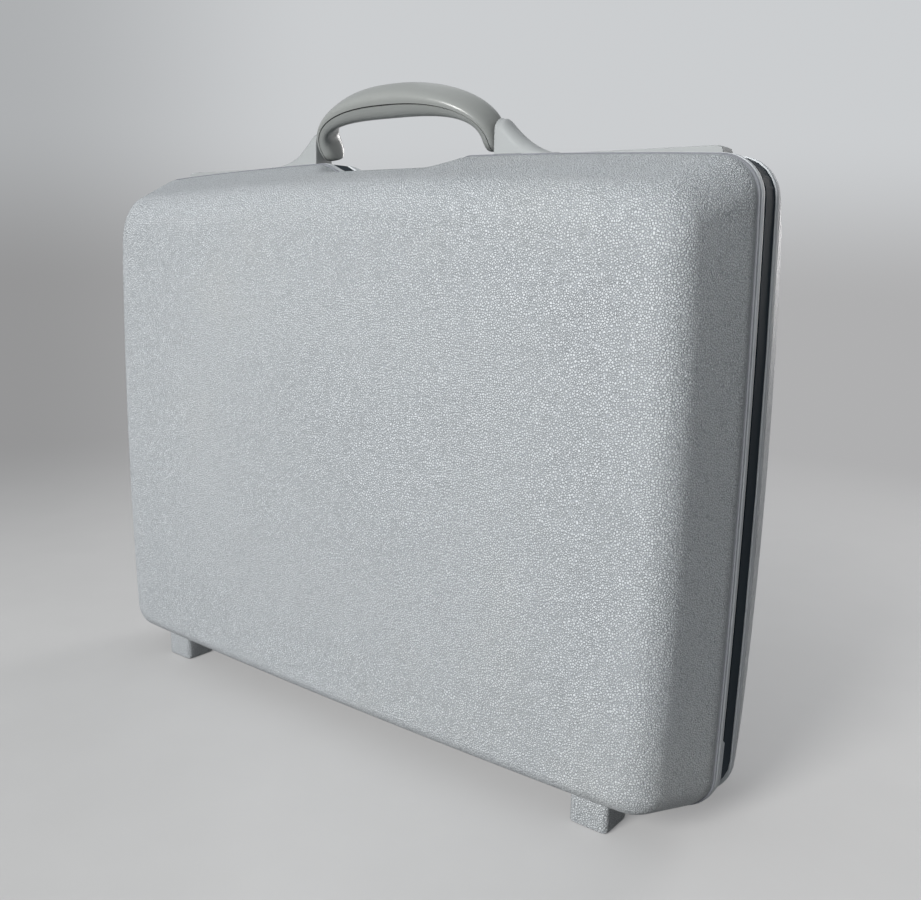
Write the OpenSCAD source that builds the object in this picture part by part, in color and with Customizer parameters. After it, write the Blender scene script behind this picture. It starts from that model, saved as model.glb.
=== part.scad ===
// Hard-shell attache case, closed and standing on its moulded feet.
// X runs along the length, Y from the lid to the base half, Z up.
// The origin is on the floor under the middle. Millimetres.

/* [View] */
// Sub-part to build, or all of them

/* [Case] */
// Length over the closing rims
case_length = 460; // [430:1:490]
// Height of the closing rims at the middle
rim_height = 344.4; // [325:0.1:365]
// Height of the rims' lowest point above the floor
rim_lift = 7.5; // [6:0.1:10]
// Corner radius of the rims
rim_corner = 21.5; // [18:0.1:26]
// Crown of the rims' top edge
top_bow = 6.9; // [4:0.1:9]
// Crown of the rims' side edges
side_bow = 2.5; // [1:0.1:4]
// Crown of the rims' bottom edge
bottom_bow = 3; // [1:0.1:4]

/* [Shells] */
// Depth of one shell behind its rim
shell_depth = 52; // [45:0.5:60]
// Wall thickness
shell_wall = 3; // [2:0.1:3.4]
// Step from the rim down to the shell
shell_step = 1.2; // [0.8:0.1:2]
// Depth over which the side's draft grows from nothing
edge_roll = 6; // [3:0.5:9]
// Draft of the shell's sides, in degrees
shell_draft = 16.4; // [12:0.1:19]
// Depth of the rounding between the sides and the face
edge_depth = 21.3; // [17:0.1:24]
// Width of the rounding between the sides and the face
edge_width = 17.7; // [15:0.1:21]
// Loss of corner radius from the rim down to the face's lower corners
corner_loss = 14; // [6:0.5:16]
// Rise of the face's middle over its edge
face_dome = 1.5; // [0.5:0.1:2.5]
// Side slope of the top wall compared with the end walls
top_slope = 1.36; // [1.1:0.01:1.5]
// Side slope of the bottom wall compared with the end walls
bottom_slope = 0.76; // [0.6:0.01:1]

/* [Feet] */
// Distance of a foot's middle from the case's middle
foot_x = 174.5; // [150:0.5:180]
// Length of a foot along the case
foot_length = 23; // [18:0.5:28]
// Depth of a foot
foot_depth = 23; // [18:0.5:26]
// Distance of a foot's outer side from the face
foot_setback = 15; // [12:0.5:20]
// Corner radius of a foot
foot_corner = 3; // [2:0.1:6]

/* [Closing rims] */
// Depth of one rim
rim_band = 6; // [5:0.1:7]
// Width of the rims, outer edge to inner edge
rim_width = 11; // [10.6:0.1:12.5]
// Depth of the groove beside the bead
groove_depth = 1.2; // [0.6:0.1:1.6]
// Depth of the lip that stands inside the shell
lip_depth = 6; // [5:0.1:8]

/* [Frame between the rims] */
// Gap between the lid rim and the frame
frame_gap = 2.2; // [2.1:0.1:2.6]
// Depth of the frame
frame_depth = 11.8; // [10:0.1:13]
// Recess of the frame at the top and the ends
frame_recess = 0.6; // [0.3:0.1:1.2]
// Recess of the frame at the bottom, where the lid's rim turns past it
frame_lift = 3; // [2.5:0.1:3.5]
// Thickness of a corner strip
strip_wall = 2.8; // [2:0.1:3.4]
// Height of a corner strip above the rims' lowest point
strip_reach = 45; // [36:1:54]
// Thickness of the seal strip
seal_width = 2.2; // [1.6:0.1:2.4]
// Air between the seal strip and the lid rim
seal_gap = 0.6; // [0.4:0.05:0.8]

/* [Handle] */
// Clear width between the two pedestals
handle_span = 141; // [130:0.5:150]
// Height of the grip's crown above the handle's pivot
crown_out = 34.4; // [32:0.1:40]
// Thickness of the grip at its middle
grip_height = 17.6; // [15:0.1:19]
// Width of the grip at its middle
grip_width = 18.6; // [16:0.1:19]
// Thickness of a handle leg along the case
leg_thickness = 9.9; // [8:0.1:12]
// Width of a handle leg
leg_width = 17; // [14:0.1:18]
// Place of the handle's seam, from its inner face at 0 to its outer face at 1
seam = 0.62; // [0.55:0.01:0.7]
// Half width of the seam, on the same scale
seam_half = 0.028; // [0.02:0.002:0.04]
// Air between a leg and its pedestal
leg_gap = 1; // [0.6:0.1:1.5]
// Height of the pivot above the rims
pivot_rise = 10.9; // [10.4:0.1:12]
// Depth position of the pivot
pivot_y = 0.5; // [0:0.1:2]
// Lean of the resting handle towards the lid, in degrees
handle_lean = 34; // [0:1:50]
// Radius of a handle pin
handle_pin_r = 2.5; // [2:0.05:3]
// Length of a handle pin inside its pedestal
pin_seat = 6; // [4:0.5:8]
// Running clearance of the pins
run_fit = 0.05; // [0.02:0.01:0.09]

/* [Scoop under the handle] */
// Half width of the scoop's floor
scoop_floor = 43; // [36:0.5:48]
// Half width of the scoop's mouth
scoop_mouth = 57; // [50:0.5:62]
// Depth of the scoop
scoop_drop = 6.9; // [5:0.1:8]

/* [Pedestals] */
// Height of a pedestal above the rims
pedestal_rise = 20.6; // [18:0.1:24]
// Length of a pedestal's flare
pedestal_flare = 37; // [32:0.5:43]
// Length of a pedestal's crown
pedestal_crown = 5; // [3:0.1:7]
// Easing of a pedestal's edge beside the handle
pedestal_ease = 0.8; // [0.3:0.1:1.5]
// Reach of a pedestal over the lid's rim
pedestal_reach = 3; // [0:0.1:4]

/* [Latches] */
// Distance of a latch strip's outer end from the case's end
strip_margin = 25.5; // [22:0.5:30]
// Drop of the strips' flat top below the rims' highest point
strip_drop = 1.4; // [1:0.1:2]
// Height of a latch housing
housing_height = 10; // [9.6:0.1:11]
// Travel of a latch slide
latch_travel = 6; // [4:0.5:7]
// Width of the bolt's finger
finger_width = 5; // [4:0.1:6]
// Height of the bolt's finger
finger_height = 3; // [2.4:0.1:3.2]
// Air around the moving latch pieces
latch_air = 0.3; // [0.2:0.05:0.4]
// Thickness of a keeper plate
keeper_plate = 1.2; // [1:0.1:1.5]
// Reach of a keeper plate on either side of its slot
keeper_reach = 13.5; // [11:0.5:16]
// Room beside the bolt inside a latch housing
housing_room = 12; // [10:0.5:14]

/* [Hinges] */
// Distance of a hinge from the case's middle
hinge_x = 120; // [90:1:140]
// Length of a hinge
hinge_length = 70; // [50:1:90]
// Radius of the hinge barrel
barrel_r = 2.4; // [2.2:0.05:2.6]
// Radius of the hinge pin
hinge_pin_r = 1.2; // [1:0.05:1.4]
// Thickness of a hinge leaf
leaf_wall = 0.8; // [0.6:0.05:0.85]
// Height of a hinge leaf above the hinge axis
leaf_height = 5; // [4.6:0.1:5]
// Radius of a hinge rivet
hinge_rivet_r = 0.9; // [0.7:0.05:1.1]

/* [Lid stays] */
// Height of the stay pivots above the hinge axis
stay_height = 50; // [44:0.5:60]
// Distance of the stay pivots behind their shell's edge
stay_inset = 3; // [2.5:0.1:3.4]
// Width of a stay bar
stay_width = 8; // [7:0.1:10]
// Thickness of a stay bar
stay_wall = 1.6; // [1.2:0.1:2]
// Radius of a stay rivet
stay_rivet_r = 2; // [1.6:0.05:2.4]

/* [Inside] */
// Thickness of the linings
lining_wall = 1; // [0.8:0.1:1.5]
// Air between a lining and its shell
lining_gap = 0.45; // [0.2:0.05:0.6]
// Half length of the document pocket
pocket_half = 185; // [160:1:190]
// Height of the document pocket
pocket_height = 180; // [150:1:200]
// Room inside the document pocket
pocket_room = 12; // [8:0.5:14]
// Distance of the card pocket and the pen loops from the pocket's ends
pocket_margin = 20; // [12:1:30]
// Length of the card pocket
card_length = 110; // [90:1:120]
// Height of the card pocket
card_height = 75; // [60:1:90]
// Length of the pen loops' band
band_length = 66; // [50:1:80]
// Height of the pen loops' band
band_height = 22; // [16:1:28]

/* [Hidden] */
$fn = 64;
e = 0.01;
top_z = rim_lift + rim_height;
mid_z = rim_lift + rim_height / 2;
half_x = case_length / 2;
case_depth = 2 * shell_depth + 2 * rim_band + frame_gap + frame_depth;
lid_face_y = -case_depth / 2;
lid_edge_y = lid_face_y + shell_depth;
lid_rim_y = lid_edge_y + rim_band;
frame_y = lid_rim_y + frame_gap;
base_rim_y = frame_y + frame_depth;
base_edge_y = base_rim_y + rim_band;
hinge_y = lid_rim_y + frame_gap / 2;
hinge_z = rim_lift + 2;
pivot_z = top_z + pivot_rise;
ped_in = handle_span / 2;
ped_out = ped_in + pedestal_crown + pedestal_flare;
ped_floor = top_z - 8.9;
strip_end = half_x - strip_margin;
strip_top = top_z - strip_drop;
strip_floor = strip_top - housing_height;
strip_y = (frame_y + base_rim_y) / 2;
latch_x = (ped_out + strip_end) / 2;
bolt_z = strip_floor + 2.5;
bolt_x0 = latch_x - 20;
bolt_x1 = latch_x + 20;
button_x0 = latch_x - 10;
button_x1 = latch_x + 10;
slot_x0 = latch_x - finger_width / 2 - 1;
slot_x1 = latch_x + finger_width / 2 + 6;
keeper_x0 = slot_x0 - keeper_reach + 5;
keeper_x1 = slot_x1 + keeper_reach;
lip_in = side_inset(lip_depth) + shell_wall / cos(shell_draft) + 0.2;
seal_out = rim_width - 0.4 - seal_width;
stay_z = hinge_z + stay_height;
stay_ay = base_edge_y + stay_inset;
stay_by = lid_edge_y - stay_inset;
stay_seat = half_x - side_bow - rim_width + 1.2;
stay_arm_x = stay_seat - 1.8 - stay_wall;
stay_link_x = stay_arm_x - 0.4 - stay_wall;
arc_d = shell_depth - face_dome - edge_depth;
arc_start = atan(tan(shell_draft) * edge_depth / edge_width);
arc_in = side_inset(arc_d + edge_depth * sin(arc_start)) + edge_width * cos(arc_start);
face_d = arc_d + edge_depth;

// An outline is [half length, low z, high z, upper corner radius, side bow, top bow, bottom bow,
// scoop drop, lower corner radius].

// Inset of the shell's side at a depth behind the rim.
function side_inset(d) = shell_step
    + tan(shell_draft) * (d < edge_roll ? d * d / (2 * edge_roll) : d - edge_roll / 2);

function scoop_z(x) = abs(x) <= scoop_floor ? top_z - scoop_drop
    : abs(x) >= scoop_mouth ? top_z + 50
    : top_z - scoop_drop + scoop_drop * (abs(x) - scoop_floor) / (scoop_mouth - scoop_floor);

function high_z(o, x) = min(o[2] - o[5] * pow(x / o[0], 2), scoop_z(x) - o[7]);

function low_z(o, x) = o[1] + o[6] * pow(x / o[0], 2);

function side_x(o, z) = o[0] - o[4] * pow((2 * z - o[1] - o[2]) / (o[2] - o[1]), 2);

// Right half of an outline, from the bottom's middle round to the top's middle.
function half_outline(o) =
    let (
        r = o[3],
        q = o[8],
        hh = (o[2] - o[1]) / 2,
        ts = atan(2 * o[4] * (hh - r) / pow(hh, 2)),
        tq = atan(2 * o[4] * (hh - q) / pow(hh, 2)),
        tt = atan(2 * o[5] * (o[0] - r) / pow(o[0], 2)),
        tb = atan(2 * o[6] * (o[0] - q) / pow(o[0], 2)),
        cx = o[0] - o[4] * pow((hh - r) / hh, 2) - r * cos(ts),
        dx = o[0] - o[4] * pow((hh - q) / hh, 2) - q * cos(tq),
        ct = o[2] - o[5] * pow((o[0] - r) / o[0], 2) - r * cos(tt),
        cb = o[1] + o[6] * pow((o[0] - q) / o[0], 2) + q * cos(tb),
        xb = dx + q * sin(tb),
        xt = cx + r * sin(tt),
        z0 = cb - q * sin(tq),
        z1 = ct + r * sin(ts),
        zm = (o[1] + o[2]) / 2
    )
    concat(
        [for (i = [0:3]) [xb * i / 4, low_z(o, xb * i / 4)]],
        [for (i = [0:6]) let (a = -90 + tb + (90 - tb - tq) * i / 6) [dx + q * cos(a), cb + q * sin(a)]],
        [for (z = [(z0 + zm) / 2, zm, (zm + z1) / 2]) [side_x(o, z), z]],
        [for (i = [0:6]) let (a = ts + (90 - tt - ts) * i / 6) [cx + r * cos(a), ct + r * sin(a)]],
        [for (i = [1:2]) let (x = xt + (scoop_mouth - xt) * i / 3) [x, high_z(o, x)]],
        [for (x = [scoop_mouth, scoop_floor, scoop_floor / 2, 0]) [x, high_z(o, x)]]
    );

function outline(o) =
    let (h = half_outline(o), n = len(h))
    concat(h, [for (i = [n - 2:-1:1]) [-h[i][0], h[i][1]]]);

// Rim outline moved inwards by a distance.
function rim_spec(inset, drop = 0, lift = 0) =
    let (r = max(rim_corner - inset, 3))
    [half_x - inset, rim_lift + max(inset, lift), top_z - inset, r, side_bow, top_bow, bottom_bow, drop, r];

// Shell outline at an inset, with its own slope on the top and bottom walls.
function shell_spec(inset, drop) =
    let (k = inset - shell_step, t = k / 28)
    [
        half_x - inset,
        rim_lift + shell_step + k * bottom_slope,
        top_z - shell_step - k * top_slope,
        rim_corner + 2 * min(t, 1),
        side_bow * (1 + 1.6 * t),
        top_bow * (1 + 0.3 * t),
        bottom_bow,
        drop,
        rim_corner - corner_loss * min(t, 1)
    ];

// Points [inset, depth] on a shell's section, a distance inside its outer face.
function draft_point(off, d) = [side_inset(d) + off / cos(shell_draft), d];

function arc_point(off, a) = [arc_in - (edge_width - off) * cos(a), arc_d + (edge_depth - off) * sin(a)];

function shell_section(off, first, mids, steps) = concat(
    [draft_point(off, first)],
    [for (d = mids) draft_point(off, d)],
    [for (i = [0:steps]) arc_point(off, arc_start + (90 - arc_start) * i / steps)]
);

function at_depth(points, y) = [for (p = points) [p[0], y, p[1]]];

function ring_at(p, drop) = at_depth(outline(shell_spec(p[0], drop)), lid_edge_y - p[1]);

function cat(lists) = [for (l = lists) for (p = l) p];

function flip(list) = [for (i = [len(list) - 1:-1:0]) list[i]];

// Closed skin through rings of equal length, with a middle point on each end. The first rings,
// before the turn, are split along the same diagonals as the ones that come back inside them.
module skin_tube(start, rings, finish, turn) {
    n = len(rings[0]);
    m = len(rings);
    last = n * m + 1;
    polyhedron(
        points = concat([start], cat(rings), [finish]),
        faces = concat(
            [for (i = [0:n - 1]) [0, 1 + (i + 1) % n, 1 + i]],
            [for (k = [0:m - 2]) for (i = [0:n - 1])
                let (a = 1 + k * n, b = a + n, j = (i + 1) % n)
                [a + i, a + j, k < turn ? b + i : b + j]],
            [for (k = [0:m - 2]) for (i = [0:n - 1])
                let (a = 1 + k * n, b = a + n, j = (i + 1) % n)
                [k < turn ? a + j : a + i, b + j, b + i]],
            [for (i = [0:n - 1]) [last, 1 + (m - 1) * n + i, 1 + (m - 1) * n + (i + 1) % n]]
        ),
        convexity = 6
    );
}

// A tray between two distances inside the shell's outer face.
module tray(out, inn, first, mids, steps, dome, drop) {
    outer = shell_section(out, first, mids, steps);
    inner = shell_section(inn, first, mids, max(steps - 2, 3));
    face_z = mid_z - 4;
    face_y = lid_edge_y - face_d;
    skin_tube(
        [0, face_y + out - dome, face_z],
        concat(
            dome > 0 ? [at_depth(outline(shell_spec(arc_in + 55, drop)), face_y + out - dome * 0.75)] : [],
            flip([for (p = outer) ring_at(p, drop)]),
            [for (p = inner) ring_at(p, drop + inn - out)]
        ),
        [0, face_y + inn - dome, face_z],
        len(outer)
    );
}

module slab(y0, y1) {
    translate([0, y1, 0]) rotate([90, 0, 0]) linear_extrude(height = y1 - y0, convexity = 6) children();
}

// Lip and inner edges follow the shell's inner face, not the rim's outer edge.
module ring_shape(out, inn, drop = 0, lift = 0) {
    difference() {
        polygon(outline(rim_spec(out, drop, lift)));
        polygon(outline(shell_spec(inn, drop + 10)));
    }
}

module inner_ring(out, inn) {
    difference() {
        polygon(outline(shell_spec(out, 8)));
        polygon(outline(shell_spec(inn, 12)));
    }
}

module box(x0, x1, y0, y1, z0, z1) {
    translate([x0, y0, z0]) cube([x1 - x0, y1 - y0, z1 - z0]);
}

module rod(x0, x1, y, z, r) {
    translate([x0, y, z]) rotate([0, 90, 0]) cylinder(h = x1 - x0, r = r);
}

module both_ends() {
    children();
    mirror([1, 0, 0]) children();
}

module foot() {
    y0 = lid_face_y + foot_setback;
    outer_z = rim_lift + shell_step + bottom_bow;
    intersection() {
        translate([foot_x, y0 + foot_depth / 2, 0]) linear_extrude(height = 60) union() {
            square([foot_length - 2 * foot_corner, foot_depth], center = true);
            square([foot_length, foot_depth - 2 * foot_corner], center = true);
            for (sx = [-1, 1], sy = [-1, 1])
                translate([sx * (foot_length / 2 - foot_corner), sy * (foot_depth / 2 - foot_corner)])
                    circle(r = foot_corner);
        }
        translate([foot_x - foot_length, 0, 0]) rotate([90, 0, 90])
            linear_extrude(height = 2 * foot_length)
                polygon([
                    [y0 - 1, 0],
                    [y0 + foot_depth + 1, 0],
                    [y0 + foot_depth + 1, outer_z + 2.6],
                    [y0 - 1, outer_z + 8.4]
                ]);
    }
}

module shell() {
    tray(0, shell_wall, 0, [3, lip_depth + 1, 14, 25], 6, face_dome, 1.2);
    both_ends() foot();
}

module lid_shell() color([0.72, 0.75, 0.77]) shell();

module base_shell() color([0.72, 0.75, 0.77]) mirror([0, 1, 0]) shell();

module lining() {
    out = shell_wall + lining_gap;
    tray(out, out + lining_wall, lip_depth + 1, [14, 25], 4, 0, 1.2 + out);
}

module lid_lining() color([0.25, 0.27, 0.30]) lining();

module base_lining() color([0.25, 0.27, 0.30]) mirror([0, 1, 0]) lining();

// Closing rim of the lid: bead, groove, band and the lip inside the shell.
module rim() {
    slab(lid_edge_y, lid_edge_y + 1) ring_shape(0.3, rim_width);
    slab(lid_edge_y + 1, lid_edge_y + 1.8) ring_shape(groove_depth, rim_width);
    slab(lid_edge_y + 1.8, lid_rim_y) ring_shape(0, rim_width);
    slab(lid_edge_y - lip_depth, lid_edge_y) inner_ring(lip_in, rim_width);
}

module hinge_holes(y0, y1) {
    both_ends() for (k = [-1, 0, 1])
        translate([hinge_x + k * hinge_length * 0.38, y1, hinge_z + leaf_height - 1.7])
            rotate([90, 0, 0]) cylinder(h = y1 - y0, r = hinge_rivet_r);
}

module barrel_room() {
    both_ends() rod(
        hinge_x - hinge_length / 2 - 0.5, hinge_x + hinge_length / 2 + 0.5, hinge_y, hinge_z, barrel_r + 0.3
    );
}

module stay_rivet(x0, y, z) {
    rod(x0 - 0.8, stay_seat + 1.4, y, z, stay_rivet_r);
    rod(x0 + stay_wall + 0.2, stay_seat, y, z, stay_rivet_r + 2);
    rod(x0 - 1.8, x0 - 0.2, y, z, stay_rivet_r + 1.4);
}

module stay_seat_cut(y) {
    both_ends() {
        rod(stay_seat - 20, stay_seat, y, stay_z, stay_rivet_r + 2.1);
        rod(stay_seat - 20, stay_seat + 1.4, y, stay_z, stay_rivet_r);
    }
}

module keeper_room() {
    z = bolt_z + finger_height / 2;
    both_ends() {
        box(keeper_x0 - 0.1, keeper_x1 + 0.1, lid_rim_y - keeper_plate, lid_rim_y + 1, z - 3.1, z + 3.1);
        box(slot_x0 - 0.5, slot_x1 + latch_travel + 0.1, lid_rim_y - 4.6, lid_rim_y, z - 2.1, z + 2.1);
    }
}

module keeper_screw_set(grow = 0) {
    both_ends() for (x = [keeper_x0 + 4, keeper_x1 - 4])
        translate([x, lid_rim_y - 0.3, bolt_z + finger_height / 2])
            rotate([90, 0, 0]) cylinder(h = 4.2 + grow, r = 1.2);
}

module lid_rim() color([0.76, 0.78, 0.79]) difference() {
    rim();
    keeper_room();
    keeper_screw_set();
    barrel_room();
    hinge_holes(lid_rim_y - 4, lid_rim_y + 1);
    stay_seat_cut(stay_by);
}

// Room in the frame's top for the pedestals and latch housings.
module top_room() {
    both_ends() {
        box(ped_in, ped_out, frame_y - 1, base_rim_y + 1, ped_floor, top_z + 10);
        box(ped_out - e, strip_end, frame_y - 1, base_rim_y + 1, strip_floor, top_z + 10);
    }
}

module base_rim() color([0.76, 0.78, 0.79]) difference() {
    mirror([0, 1, 0]) rim();
    stay_seat_cut(stay_ay);
}

module base_frame() color([0.16, 0.18, 0.20]) difference() {
    slab(frame_y, base_rim_y) ring_shape(frame_recess, rim_width, 1, frame_lift);
    top_room();
    barrel_room();
    hinge_holes(frame_y - 1, frame_y + 3.2);
}

module seal_strip() color([0.08, 0.09, 0.10])
    slab(lid_rim_y + seal_gap, frame_y) inner_ring(seal_out, seal_out + seal_width);

// Strip that closes the gap at a lower corner, tapered at its upper end.
module corner_strip() {
    x0 = hinge_x + hinge_length / 2 + 8;
    z1 = rim_lift + strip_reach;
    intersection() {
        slab(lid_rim_y, lid_rim_y + frame_gap - 0.4) difference() {
            polygon(outline(rim_spec(0.6)));
            polygon(outline(rim_spec(0.6 + strip_wall)));
        }
        slab(lid_rim_y, lid_rim_y + frame_gap) polygon([
            [x0, 0],
            [half_x + 10, 0],
            [half_x + 10, z1],
            [half_x - side_bow, z1],
            [half_x - side_bow - strip_wall, z1 - 3 * strip_wall],
            [x0, z1 - 3 * strip_wall]
        ]);
    }
}

module corner_strip_right() color([0.76, 0.78, 0.79]) corner_strip();

module corner_strip_left() color([0.76, 0.78, 0.79]) mirror([1, 0, 0]) corner_strip();

// Hinges: the middle knuckle is on the base, the outer two are on the lid.
module knuckle(x0, x1, bore) {
    difference() {
        rod(x0, x1, hinge_y, hinge_z, barrel_r);
        rod(x0 - 1, x1 + 1, hinge_y, hinge_z, bore);
    }
}

module leaf(y0, y1, x0, x1, low) {
    box(x0, x1, y0, y1, hinge_z + low, hinge_z + leaf_height);
}

module hinge_leaves_base() color([0.62, 0.63, 0.65]) difference() {
    both_ends() {
        knuckle(hinge_x - hinge_length * 0.24, hinge_x + hinge_length * 0.24, hinge_pin_r + run_fit);
        leaf(frame_y - leaf_wall, frame_y, hinge_x - hinge_length * 0.24, hinge_x + hinge_length * 0.24,
            hinge_pin_r + 0.3);
        leaf(frame_y - leaf_wall, frame_y, hinge_x - hinge_length / 2, hinge_x + hinge_length / 2,
            barrel_r + 0.2);
    }
    hinge_holes(frame_y - 2, frame_y + 1);
}

module hinge_leaves_lid() color([0.62, 0.63, 0.65]) difference() {
    both_ends() {
        for (s = [-1, 1]) {
            a = hinge_x + s * hinge_length * 0.25;
            b = hinge_x + s * hinge_length / 2;
            knuckle(min(a, b), max(a, b), hinge_pin_r);
            leaf(lid_rim_y, lid_rim_y + leaf_wall, min(a, b), max(a, b), hinge_pin_r + 0.3);
        }
        leaf(lid_rim_y, lid_rim_y + leaf_wall, hinge_x - hinge_length / 2, hinge_x + hinge_length / 2,
            barrel_r + 0.2);
    }
    hinge_holes(lid_rim_y - 1, lid_rim_y + 2);
}

module hinge_pins() color([0.75, 0.76, 0.78])
    both_ends() rod(hinge_x - hinge_length / 2, hinge_x + hinge_length / 2, hinge_y, hinge_z, hinge_pin_r);

module hinge_rivets_base() color([0.75, 0.76, 0.78])
    hinge_holes(frame_y - leaf_wall, frame_y + 3.2);

module hinge_rivets_lid() color([0.75, 0.76, 0.78])
    hinge_holes(lid_rim_y - 4, lid_rim_y + leaf_wall);

// Room for the lid's rim under the pedestals' front.
module over_rim() {
    slab(frame_y - pedestal_reach - 1, frame_y) polygon([
        for (p = [[0, -60], [0, 0.4], [1, 0.4], [2, 0.4], [3, 0.4], [3, -60]])
            let (x = ped_in - 1 + (ped_out + 2 - ped_in) * p[0] / 3)
            [x, top_z - top_bow * pow(x / half_x, 2) + p[1]]
    ]);
}

// Arch across a pedestal: its position, height and half width.
function arch(x, h, w) =
    let (c = (frame_y - pedestal_reach + base_rim_y) / 2, r = min(h, w), z0 = top_z - 1 + h - r)
    concat(
        [[x, c + w, ped_floor]],
        [for (a = [0:15:180]) [x, c + w * cos(a), z0 + r * sin(a)]],
        [[x, c - w, ped_floor]]
    );

// Handle pedestal, right hand: a round-backed ridge whose front reaches over the lid's rim.
module pedestal() {
    w = (base_rim_y - frame_y + pedestal_reach) / 2;
    difference() {
        loft(concat(
            [for (k = [1, 0.3]) arch(ped_in + (1 - k) * pedestal_ease, pedestal_rise - k * pedestal_ease,
                w - k * pedestal_ease)],
            [arch(ped_in + pedestal_ease, pedestal_rise, w)],
            [arch(ped_in + pedestal_crown - 0.8, pedestal_rise - 0.15, w)],
            [for (i = [0:14]) arch(
                ped_in + pedestal_crown + 0.6 + (pedestal_flare - 0.6) * i / 14,
                (pedestal_rise - 0.9) * pow(1 - i / 14, 1.95),
                w
            )]
        ));
        over_rim();
        rod(ped_in - 1, ped_in + pin_seat, pivot_y, pivot_z, handle_pin_r);
    }
}

module pedestal_right() color([0.78, 0.79, 0.79]) pedestal();

module pedestal_left() color([0.78, 0.79, 0.79]) mirror([1, 0, 0]) pedestal();

module handle_pins() color([0.70, 0.71, 0.72])
    both_ends() rod(leg_in + 1, ped_in + pin_seat, pivot_y, pivot_z, handle_pin_r);

// Latch, right hand: the housing fills the strip; the button and bolt slide towards the case's end.
module latch_housing() {
    difference() {
        slab(frame_y, base_rim_y) polygon([
            [ped_out, strip_floor],
            [strip_end, strip_floor],
            [strip_end, strip_top - 2.6],
            [strip_end - 1, strip_top - 0.9],
            [strip_end - 3, strip_top],
            [ped_out, strip_top]
        ]);
        box(bolt_x0 - housing_room, bolt_x1 + housing_room, frame_y + 2, base_rim_y - 1.5,
            strip_floor + 1.5, strip_top - 3.3);
        box(button_x0 - 4, button_x1 + 2 + latch_travel, frame_y + 2, base_rim_y - 1.5,
            strip_top - 1.7, strip_top + 1);
        box(latch_x - 3 - latch_air, latch_x + 3 + latch_travel + latch_air, strip_y - 2 - latch_air,
            strip_y + 2 + latch_air, strip_floor + 3, strip_top);
        box(latch_x - finger_width / 2 - latch_air, latch_x + finger_width / 2 + latch_travel + latch_air,
            frame_y - 1, frame_y + 3, bolt_z - latch_air, bolt_z + finger_height + latch_air);
    }
}

module latch_housing_right() color([0.78, 0.79, 0.79]) latch_housing();

module latch_housing_left() color([0.78, 0.79, 0.79]) mirror([1, 0, 0]) latch_housing();

module latch_button() {
    difference() {
        union() {
            box(button_x0, button_x1, frame_y + 2 + latch_air, base_rim_y - 1.5 - latch_air,
                strip_top - 1.6, strip_top - 0.1);
            box(latch_x - 3, latch_x + 3, strip_y - 2, strip_y + 2, bolt_z + finger_height, strip_top - 1.5);
        }
        for (k = [-2:2])
            box(latch_x + k * 3 - 0.5, latch_x + k * 3 + 0.5, frame_y + 3.5, base_rim_y - 3,
                strip_top - 0.7, strip_top + 1);
    }
}

module latch_button_right() color([0.55, 0.57, 0.59]) latch_button();

module latch_button_left() color([0.55, 0.57, 0.59]) mirror([1, 0, 0]) latch_button();

module latch_bolt() {
    box(bolt_x0, bolt_x1, frame_y + 3, strip_y + 3, bolt_z, bolt_z + finger_height);
    box(latch_x - finger_width / 2, latch_x + finger_width / 2, lid_rim_y - 3.6, frame_y + 4,
        bolt_z, bolt_z + finger_height);
    box(latch_x - finger_width / 2, latch_x + finger_width / 2 + 5, lid_rim_y - 3.6,
        lid_rim_y - keeper_plate - 0.4, bolt_z, bolt_z + finger_height);
}

module latch_bolt_right() color([0.68, 0.69, 0.70]) latch_bolt();

module latch_bolt_left() color([0.68, 0.69, 0.70]) mirror([1, 0, 0]) latch_bolt();

module keeper() {
    z = bolt_z + finger_height / 2;
    difference() {
        box(keeper_x0, keeper_x1, lid_rim_y - keeper_plate, lid_rim_y, z - 3, z + 3);
        box(slot_x0, slot_x1, lid_rim_y - 3, lid_rim_y + 1, z - 2, z + 2);
        keeper_screw_set();
    }
}

module keeper_right() color([0.68, 0.69, 0.70]) keeper();

module keeper_left() color([0.68, 0.69, 0.70]) mirror([1, 0, 0]) keeper();

module keeper_screws() color([0.75, 0.76, 0.78]) keeper_screw_set();

// Lid stay, right hand: arm from the base pivot, link back to the lid pivot. Both stay parallel
// to the lines from the hinge axis to the two pivots.
module stay_bar(x0, y0, z0, y1, z1, r0, r1) {
    a = atan2(z1 - z0, y1 - y0);
    len = norm([y1 - y0, z1 - z0]);
    difference() {
        union() {
            rod(x0, x0 + stay_wall, y0, z0, stay_width / 2);
            rod(x0, x0 + stay_wall, y1, z1, stay_width / 2);
            translate([x0, y0, z0]) rotate([a, 0, 0])
                translate([0, 0, -stay_width / 2]) cube([stay_wall, len, stay_width]);
        }
        rod(x0 - 1, x0 + stay_wall + 1, y0, z0, r0);
        rod(x0 - 1, x0 + stay_wall + 1, y1, z1, r1);
    }
}

stay_cy = stay_ay + stay_by - hinge_y;
stay_cz = 2 * stay_z - hinge_z;

module stay_arm() {
    stay_bar(stay_arm_x, stay_ay, stay_z, stay_cy, stay_cz, stay_rivet_r + run_fit, stay_rivet_r);
    rod(stay_link_x - 0.6, stay_arm_x + stay_wall, stay_cy, stay_cz, stay_rivet_r);
}

module stay_link() {
    stay_bar(stay_link_x, stay_cy, stay_cz, stay_by, stay_z, stay_rivet_r + run_fit, stay_rivet_r + 0.1);
}

module stay_arm_right() color([0.62, 0.63, 0.65]) stay_arm();

module stay_arm_left() color([0.62, 0.63, 0.65]) mirror([1, 0, 0]) stay_arm();

module stay_link_right() color([0.62, 0.63, 0.65]) stay_link();

module stay_link_left() color([0.62, 0.63, 0.65]) mirror([1, 0, 0]) stay_link();

module stay_rivets_base() color([0.75, 0.76, 0.78]) both_ends() stay_rivet(stay_arm_x, stay_ay, stay_z);

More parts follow.
